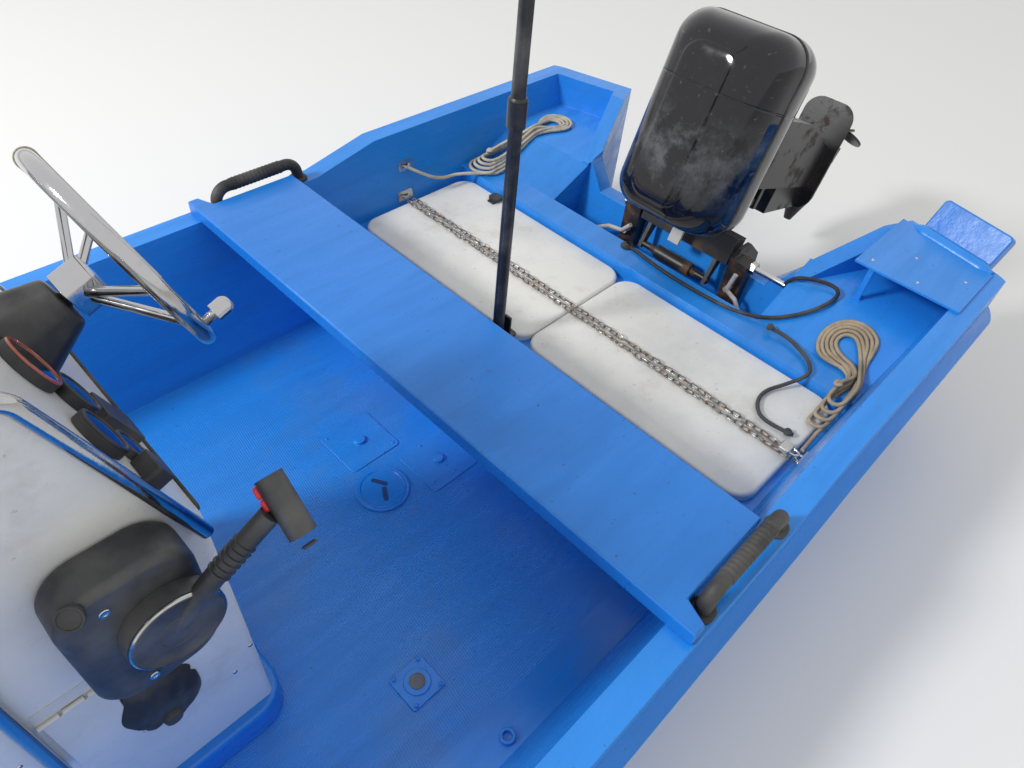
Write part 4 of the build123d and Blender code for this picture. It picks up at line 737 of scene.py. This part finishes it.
# Place of each notch round the skirt in radians, and its depth.
boot_notches = ((5.15, 0.022), (5.62, 0.012), (2.9, 0.006))
notch_half = 0.09
boot_turn = np.linspace(0, 2 * pi, 144, endpoint=False)
boot_reach = boot_radius + 0.003 * np.sin(2 * boot_turn + 0.6) + 0.0015 * np.sin(7 * boot_turn + 1.1)
for notch, deep in boot_notches:
    boot_reach -= deep * np.exp(-((boot_turn - notch) / notch_half)**2)
boot_grid = np.stack([np.stack([
    boot_middle[0] + share * boot_reach * np.cos(boot_turn),
    boot_middle[1] + rise + boot_fold * np.sin(7 * boot_turn) * share * (1 - share) * 4,
    boot_middle[2] + boot_tallness * share * boot_reach * np.sin(boot_turn),
], axis=-1) for share, rise in boot_rise])
surface("boot_skirt", boot_grid, rubber, "root", angle=50)

# Floor fittings: round inspection lid with finger slots, two screwed plates with a turn knob each,
# a square drain with a grey plug and a rod socket, all painted over with the floor.
for name in ("floor_lid", "floor_plate_port", "floor_plate_stbd", "floor_drain"):
    dressed(name, "root", deck_paint, 0.0015)
dressed("rod_holder", "root", deck_paint, 0.001)
lid_centre = np.array((-1.160, -0.014, 0.0975))
lid_ring = [(0.0570, 0), (0.0570, 0.0015), (0.0585, 0.0028), (0.0605, 0.0028), (0.0620, 0.0015), (0.0620, 0)]
surface("floor_lid_ring", turned(lid_ring, lid_centre, (0, 0, 1), 64), deck_paint, "root", caps=False)
slot_outline = (0.046, 0.013, 0.005)
slot_layers = ((0, 0), (0.0008, 0.0012))
slot_grid = [slab(lid_centre + np.array((0.006 * side, 0.020 * side, 0.0006)), (0.5, 0.86 * side, 0),
                  (-0.86 * side, 0.5, 0), *slot_outline, slot_layers) for side in (-1, 1)]
slot_blue = (0.006, 0.05, 0.17, 1)
slot_shadow = finish("slot_shadow", slot_blue, 0.6)
uneven(slot_shadow, (90, 3), 0.5, 0.8)
surface("floor_lid_slots", slot_grid, slot_shadow, "root")
plug_colour = (0.14, 0.15, 0.16, 1)
plug_grey = moulded("plug_grey", plug_colour, 0.6, 0.0004, 0.3)
plug_profile = ((0.018, 0), (0.018, 0.0025), (0.015, 0.0042), (0.006, 0.0046), (0, 0.0046))
surface("drain_plug", turned(plug_profile, (-0.896, 0.443, 0.0996), (0, 0, 1), 40), plug_grey, "root")
plate_screw_height = 0.0932
drain_screw_height = 0.0998
plate_places = ((-1.276, 0.061), (-1.344, 0.067), (-1.329, -0.060), (-1.150, -0.250), (-1.280, -0.120))
drain_places = ((-0.930, 0.405), (-0.862, 0.481), (-0.930, 0.481), (-0.862, 0.405))
floor_screws = [(x, y, plate_screw_height) for x, y in plate_places]
floor_screws += [(x, y, drain_screw_height) for x, y in drain_places]
screws("floor_screws", floor_screws, (0, 0, 1), deck_paint)

# Mast: drawn tube coated in black, standing on a hinge in its foot, with a ring at the joint of its
# two lengths.
mast_colour = (0.016, 0.016, 0.018, 1)
mast_black = moulded("mast_black", mast_colour, 0.32, 0.0001, 0.3)
dressed("mast_foot", "root", mast_black, 0.003)
dressed("mast_pole", "mast", mast_black, 0)
mast_line = (-1.612, -0.060)
collar_heights = (0.985, 1.62)
collar = ((0.0165, 0), (0.0200, 0.004), (0.0210, 0.012), (0.0210, 0.030), (0.0200, 0.038), (0.0165, 0.042))
surface("mast_collars", [turned(collar, (*mast_line, height), (0, 0, 1), 32) for height in collar_heights],
        mast_black, "mast", caps=False)

# Port quarter: a painted plate screwed over the corner on a strut, and the board on the coaming
# that holds a spare engine.
dressed("quarter_plate", "root", deck_paint, 0.0015)
dressed("spare_board", "root", plank_paint, 0.005, 3)
plate_top = 0.5698
plate_screws = ((-2.450, 0.560), (-2.450, 0.690), (-2.560, 0.640), (-2.560, 0.780))
screws("plate_screws", [(x, y, plate_top) for x, y in plate_screws], (0, 0, 1), polished)

# Clamp bracket and swivel: castings in black enamel, chipped and rusty round the pivots, with
# cast handles on the clamp screws.
enamel_black = (0.020, 0.019, 0.018, 1)
alloy_grey = (0.46, 0.45, 0.42, 1)
casting_rust = (0.16, 0.075, 0.03, 1)
chip_grey = (0.32, 0.30, 0.27, 1)


def worn_edges(mat, low, high):
    """How far a place is an outer edge, from 0 to 1, broken up by fine noise."""
    point = node(mat, "NewGeometry").outputs["Pointiness"]
    return times(mat, between(mat, point, low, high), patchy(mat, (60, 3), 0.42, 0.60))


def old_enamel(name, colour, rust=0.6, rough=0.4):
    """Enamel on a casting: fine dimples, brown rust in patches and bright chips on the edges."""
    mat = finish(name, colour, rough)
    bloom = patchy(mat, (14, 7, 0.62), 0.53, 0.66, 0, rust)
    shade = tint(mat, bloom, colour, casting_rust)
    shade = tint(mat, times(mat, worn_edges(mat, 0.55, 0.62), 0.7), shade, chip_grey)
    feed(mat, "Base Color", shade)
    feed(mat, "Roughness", between(mat, bloom, 0, rust, rough, 0.85))
    feed(mat, "Normal", relief(mat, cloud(mat, 260, 3), 0.0003))
    return mat


bracket_enamel = old_enamel("bracket_enamel", enamel_black)
cast_alloy = old_enamel("cast_alloy", alloy_grey, 0.45, 0.5)
dressed("clamp_bracket", "root", bracket_enamel, 0.004, 3)
dressed("swivel_bracket", "engine_tilt", bracket_enamel, 0.004, 3)
dressed("clamp_screws", "root", cast_alloy, 0.003, 3)
dressed("tilt_tube", "root", polished, 0.001)
dressed("steering_arm", "engine", cast_alloy, 0.003, 3)

# Engine leg and propeller: cast in light alloy and sprayed black, chipped at the edges. The
# powerhead is one plain block that the cowl hides.
leg_black = (0.012, 0.012, 0.013, 1)
leg_enamel = old_enamel("leg_enamel", leg_black, 0.15, 0.30)
dressed("leg", "engine", leg_enamel, 0.006, 3)
dressed("propeller", "propeller", leg_enamel, 0.0015)
dressed("powerhead", "engine", bracket_enamel, 0)

# Cowl and tray: moulded covers sprayed in black gloss over the powerhead, latched together along
# the seam. Their places are aft of and above the tilt tube with the engine down.
tilt_point = np.array((-2.352, 0.046, 0.426))
engine_aft = np.array((-0.342020, 0, 0.939693))
engine_up = np.array((0.939693, 0, 0.342020))
# Columns: height above the tilt tube, how far aft of it the middle is, length, width, corner radius.
cowl_rows = (
    (0.190, 0.330, 0.545, 0.360, 0.080),
    (0.250, 0.330, 0.538, 0.338, 0.078),
    (0.300, 0.327, 0.512, 0.290, 0.072),
    (0.333, 0.322, 0.470, 0.228, 0.062),
    (0.348, 0.320, 0.410, 0.164, 0.050),
)
cowl_steps = 44
cowl_crown = 0.006
gloss_black = (0.006, 0.006, 0.009, 1)
dust_grey = (0.28, 0.29, 0.30, 1)
scratch_grey = (0.4, 0.4, 0.4, 1)


def eased(part):
    """A share from 0 to 1 that starts and ends level."""
    return part**2 * (3 - 2 * part)


def smooth_rows(rows, steps):
    """More rows between the given ones: each column follows a cubic with the rows' own slopes."""
    rows = np.array(rows)
    where = np.linspace(0, len(rows) - 1, steps)
    slope = np.gradient(rows, axis=0)
    low = np.minimum(where.astype(int), len(rows) - 2)
    part = (where - low)[:, None]
    rise = eased(part)
    leave, arrive = part * (1 - part)**2, part**2 * (part - 1)
    return (1 - rise) * rows[low] + rise * rows[low + 1] + leave * slope[low] + arrive * slope[low + 1]


def on_engine(line, mid, up):
    """An outline laid square to the engine, at its middle's distances aft of and above the tilt tube."""
    return tilt_point + (mid + line[:, :1]) * engine_aft + line[:, 1:] * (0, 1.0, 0) + up * engine_up


def cowl_grid(rows, steps, crown):
    """Rounded outlines that follow the rows, then draw in over the top on a quarter round."""
    layers = [on_engine(rounded(length, width, corner, 12), mid, up)
              for up, mid, length, width, corner in smooth_rows(rows, steps)]
    up, mid, length, width, corner = rows[-1]
    for turn in np.linspace(0.2, pi / 2, 7):
        inset = (1 - cos(turn)) * width / 2 * 0.55
        line = rounded(length - 2 * inset, width - 2 * inset, max(corner - inset, 0.002), 12)
        layers.append(on_engine(line, mid, up + crown * sin(turn)))
    return np.stack(layers)


gloss = finish("cowl_gloss", gloss_black, 0.07, coat=0.25, coat_rough=0.04, specular=0.35)
cowl_aft = along(gloss, tuple(engine_aft), tuple(tilt_point))
cowl_dust = times(gloss, patchy(gloss, (11, 7, 0.7), 0.46, 0.72),
                  times(gloss, between(gloss, cowl_aft, 0.14, 0.22),
                        between(gloss, cowl_aft, 0.40, 0.30)))
cowl_scratch = between(gloss, cloud(gloss, 70, 5, 0.7, (0.2, 1, 1), (0, 0.5, 0.4)), 0.62, 0.70)
cowl_shade = tint(gloss, times(gloss, cowl_dust, 0.35), gloss_black, dust_grey)
cowl_shade = tint(gloss, times(gloss, cowl_scratch, 0.18), cowl_shade, scratch_grey)
feed(gloss, "Base Color", cowl_shade)
cowl_rough = patchy(gloss, (25, 5), 0.35, 0.7, 0.05, 0.16)
feed(gloss, "Roughness", times(gloss, cowl_rough, times(gloss, cowl_dust, 0.4), "ADD"))


def pulse(mat, value, middle, half):
    """One at the middle and nothing beyond a half width, for a fine line."""
    away = times(mat, times(mat, value, middle, "SUBTRACT"), operation="ABSOLUTE")
    return between(mat, away, half, half * 0.4)


split_aft = 0.426
split_half = 0.0035
split_depth = 0.004
split_line = pulse(gloss, cowl_aft, split_aft, split_half)
feed(gloss, "Normal", relief(gloss, times(gloss, split_line, -1.0), split_depth))
cowl_skin = surface("cowl_skin", cowl_grid(cowl_rows, cowl_steps, cowl_crown), gloss, "engine", angle=60)
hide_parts("cowl")
dressed("cowl_tray", "engine", gloss, 0.012, 4)
# Inset in steps of 6 mm and height above the tilt tube, up the seam's four rows.
seam_rows = ((1, 0.184), (0, 0.186), (0, 0.194), (1, 0.196))
seam_grid = []
for step, up in seam_rows:
    line = rounded(0.549 - 0.006 * step, 0.364 - 0.006 * step, 0.082 - 0.003 * step, 12)
    seam_grid.append(on_engine(line, cowl_rows[0][1], up))
surface("cowl_seam", np.stack(seam_grid), rubber, "engine", caps=False)

# Bow: hatch in gelcoat, with cleat, hinges and eye in polished steel, bolted through the foredeck.
# All are hidden in the photograph and finished from the type.
dressed("bow_hatch", "bow_hatch", lid_gelcoat, 0.002)
for name in ("bow_cleat", "bow_hinges", "bow_eye"):
    dressed(name, "root", polished, 0.001)

# Ropes: three-strand laid rope, tan on the port quarter, dark from it over the lid, pale on the
# starboard quarter. The tan and pale ones lie in loops that fan out from a gathered neck.
rope_size = 0.0110
lay_pitch = 0.030
slant_up = (0.03, 0.05, 1.0)
strip_height = 0.378
slope_foot = -2.210
slope_rise = 0.45
quarter_height = 0.450
corner_ease = 0.02
lid_edge = -2.105
lid_drop_run = 0.085
deck_clearance = 0.002
rope_clearance = 0.001
control_step = 0.012
knot_radius = 0.0075
knot_wire = 0.0048
knot_lift = 0.001


def rope_line(name, points, fine=10):
    """Points along a smooth spline of order three whose control points are the route's."""
    data = bpy.data.curves.new(name, "CURVE")
    data.dimensions = "3D"
    spline = data.splines.new("NURBS")
    spline.points.add(len(points) - 1)
    spline.points.foreach_set("co", np.hstack([points, np.ones((len(points), 1))]).ravel())
    spline.order_u = 3
    spline.use_endpoint_u = True
    spline.resolution_u = fine
    guide = added(name, data)
    mesh = bpy.data.meshes.new_from_object(guide)
    line = np.empty(len(mesh.vertices) * 3)
    mesh.vertices.foreach_get("co", line)
    bpy.data.objects.remove(guide)
    bpy.data.meshes.remove(mesh)
    return line.reshape(-1, 3)


def step_lengths(line):
    """Distances between a line's neighbouring points."""
    return np.linalg.norm(np.diff(line, axis=0), axis=1)


def even(line, step):
    """The same line with its points at even steps, and how far along it each one is."""
    run = np.concatenate([[0], np.cumsum(step_lengths(line))])
    where = np.linspace(0, run[-1], int(run[-1] / step) + 2)
    return np.stack([np.interp(where, run, line[:, k]) for k in range(3)], axis=-1), where


def laid_rope(line, radius, pitch, strands=3, sides=18):
    """Section of lobes, one for each strand, that turns evenly along the rope's line."""
    points, run = even(line, radius * 0.55)
    angle = np.linspace(0, 2 * pi, sides, endpoint=False)
    lobe = np.abs(np.cos(strands / 2 * (angle[None] - 2 * pi * run[:, None] / pitch)))
    return tube(points, radius * (0.80 + 0.20 * lobe**0.6), sides, slant_up)


def rope_fibre(name, colour, shade_and_dirt):
    """Spun fibre: fine hairs on the strands with painted shade between them, and dirt in patches."""
    mat = finish(name, colour, 0.85)
    hairs = cloud(mat, 700, 4, 0.7)
    dirt = patchy(mat, (22, 6), 0.40, 0.68, 0, 0.55)
    shade = tint(mat, dirt, colour, shade_and_dirt)
    # Painted shade between the hairs: the fibre darkens where the hair noise lies low.
    feed(mat, "Base Color", tint(mat, between(mat, hairs, 0.55, 0.35, 0, 0.55), shade, shade_and_dirt))
    feed(mat, "Normal", relief(mat, hairs, 0.0009))
    return mat


def hank(turns, size):
    """Rope wound to and fro through one neck: each turn is a wide petal, the neck and a narrow bight.

    Columns of a turn: petal's length and width, bight's length and width. Rows: along, aside, height.
    At the neck the strands lie in four columns, two turns to a layer; a bight lies on the one before.
    """
    rows = []
    for k, (length, width, back, narrow) in enumerate(turns):
        column, layer = size * (0.5 + k % 2), size * 0.9 * (k // 2)
        part = np.linspace(0, 1, 8)
        soft = eased(part)
        wide, tight = width / 2, narrow / 2
        flank = np.column_stack([part * (length - wide), column + (wide - column) * soft, layer * (1 - soft)])
        shank = np.column_stack([-part * (back - tight), column + (tight - column) * soft,
                                 layer + (size * 0.8 * k - layer) * soft])
        turn = np.linspace(0, pi, 12)[1:-1]
        tip = np.column_stack([length - wide + wide * np.sin(turn), wide * np.cos(turn), 0 * turn])
        end = np.column_stack([tight - back - tight * np.sin(turn), -tight * np.cos(turn),
                               size * 0.8 * (k + turn / pi)])
        rows += [shank[:0:-1], flank, tip, flank[::-1] * (1, -1, 1), shank[1:] * (1, -1, 1)]
        rows += [end] if k < len(turns) - 1 else []
    return np.vstack(rows)


def bent(rows, neck, behind, ahead, ease):
    """The same rows laid along a line that turns at the neck from one heading to another."""
    run = np.linspace(-0.5, 0.5, 1001)
    part = np.clip((run + ease) / (2 * ease), 0, 1)
    heading = behind + (ahead - behind) * eased(part)
    line = np.cumsum(np.stack([np.cos(heading), np.sin(heading)]), axis=1) * (run[1] - run[0])
    line -= line[:, 500:501]
    turned_by = np.interp(rows[:, 0], run, heading)
    return np.column_stack([
        neck[0] - np.interp(rows[:, 0], run, line[0]) + rows[:, 1] * np.sin(turned_by),
        neck[1] + np.interp(rows[:, 0], run, line[1]) + rows[:, 1] * np.cos(turned_by),
        rows[:, 2],
    ])


def deck_height_at(x):
    """Height of lid, strip, slope and quarter deck along the boat, its corners eased over 40 mm."""
    heights = [np.clip(strip_height + (slope_foot - x + shift) * slope_rise, strip_height, quarter_height)
               for shift in np.linspace(-corner_ease, corner_ease, 9)]
    drop = np.clip((x - lid_edge) / lid_drop_run, 0, 1)
    fall = (strip_height - lid_top) * eased(drop)
    return np.mean(heights, axis=0) + deck_clearance - fall


def laid(rows, size):
    """Rows of place and height laid on the decks, with control points at even steps of 12 mm."""
    lift = deck_height_at(rows[:, 0]) + size / 2 + rope_clearance
    return even(rows + np.column_stack([0 * rows[:, :2], lift]), control_step)[0]


# Each fibre's colour, and one darker colour for its dirt patches and the painted shade between its hairs.
tan_fibre = rope_fibre("tan_fibre", (0.46, 0.37, 0.25, 1), (0.16, 0.12, 0.075, 1))
pale_fibre = rope_fibre("pale_fibre", (0.60, 0.55, 0.44, 1), (0.24, 0.20, 0.14, 1))
dark_fibre = rope_fibre("dark_fibre", (0.075, 0.080, 0.075, 1), (0.02, 0.022, 0.022, 1))

dark_route = np.array([
    (-2.186, 0.444, 0.397), (-2.196, 0.500, 0.392), (-2.176, 0.560, 0.390), (-2.150, 0.602, 0.389),
    (-2.104, 0.626, 0.391), (-2.050, 0.592, 0.367), (-1.990, 0.562, 0.359), (-1.930, 0.575, 0.360),
    (-1.892, 0.622, 0.359), (-1.912, 0.697, 0.361),
])
tan_turns = ((0.178, 0.150, 0.215, 0.044), (0.170, 0.126, 0.190, 0.044), (0.161, 0.102, 0.165, 0.044),
             (0.150, 0.078, 0.145, 0.044), (0.138, 0.056, 0.120, 0.044))
tan_neck = (-2.192, 0.714)
tan_route = np.vstack([
    [(-1.879, 0.738, 0.364), (-1.905, 0.737, 0.358), (-1.940, 0.735, 0.358), (-1.975, 0.734, 0.360)],
    laid(bent(hank(tan_turns, rope_size), tan_neck, 0.05, -0.86, 0.07), rope_size),
])
pale_turns = ((0.185, 0.110, 0.262, 0.112), (0.172, 0.088, 0.245, 0.092), (0.155, 0.068, 0.230, 0.074),
              (0.178, 0.060, 0.215, 0.060), (0.140, 0.056, 0.200, 0.056))
pale_neck = (-2.370, -0.668)
pale_route = np.vstack([
    [(-1.871, -0.756, 0.454), (-1.925, -0.722, 0.418), (-1.990, -0.714, 0.390), (-2.050, -0.708, 0.392)],
    laid(bent(hank(pale_turns, rope_size), pale_neck, 0.10, 0.0, 0.05), rope_size),
])
ropes = {
    "dark_rope": (dark_route, dark_fibre, "knot", ("rope_dark",)),
    "tan_rope": (tan_route, tan_fibre, "knot", ("coil_port", "rope_bundle")),
    "pale_rope": (pale_route, pale_fibre, "knot", ("coil_stbd", "rope_stbd")),
}
knot_turn = np.linspace(0, 2 * pi, 22, endpoint=False)
knot_ring = np.stack([
    knot_radius * np.cos(knot_turn),
    knot_radius * np.sin(knot_turn),
    knot_lift * (1 + 2 * np.sin(2 * knot_turn)),
], axis=-1)
for name, (route, fibre, far_end, solids) in ropes.items():
    line = rope_line(name + "_line", route)
    rope = surface(name, laid_rope(line, rope_size / 2, lay_pitch), fibre, "root", angle=80)
    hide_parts(*solids)
    hearts = (line[-2], line[1]) if name == "dark_rope" else (line[-2],)
    knots = [tube(heart + knot_ring, knot_wire, 12) for heart in hearts]
    whole = [surface(name + "_knots", knots, fibre, "root", wrap_rows=True, caps=False)]

# Steering cable: sheathed in black, from the tilt tube's end round over the port quarter and along
# the strip, down through a rubber collar.
cable_size = 0.011
cable_route = np.array([
    (-2.352, 0.389, 0.426), (-2.351, 0.400, 0.452), (-2.357, 0.424, 0.472), (-2.378, 0.460, 0.474),
    (-2.402, 0.496, 0.470), (-2.398, 0.530, 0.466), (-2.358, 0.538, 0.460), (-2.308, 0.516, 0.438),
    (-2.258, 0.474, 0.412), (-2.214, 0.420, 0.393), (-2.188, 0.355, 0.3855), (-2.174, 0.280, 0.3845),
    (-2.170, 0.200, 0.3845), (-2.170, 0.110, 0.3845), (-2.178, 0.030, 0.3845), (-2.190, -0.030, 0.384),
    (-2.196, -0.068, 0.380),
])
line = rope_line("cable_line", cable_route)
points = even(line, 0.005)[0]
cable = surface("steering_cable_0", tube(points, cable_size / 2, 14, slant_up), rubber, "root", angle=80)
collar_place = (-2.196, -0.070, 0.3780)
collar_profile = ((0.022, 0), (0.0215, 0.004), (0.016, 0.007), (0.010, 0.008), (0.007, 0.013),
                  (0.0058, 0.014))
surface("cable_collar", turned(collar_profile, collar_place, (0, 0, 1), 32), rubber, "root", caps=False)
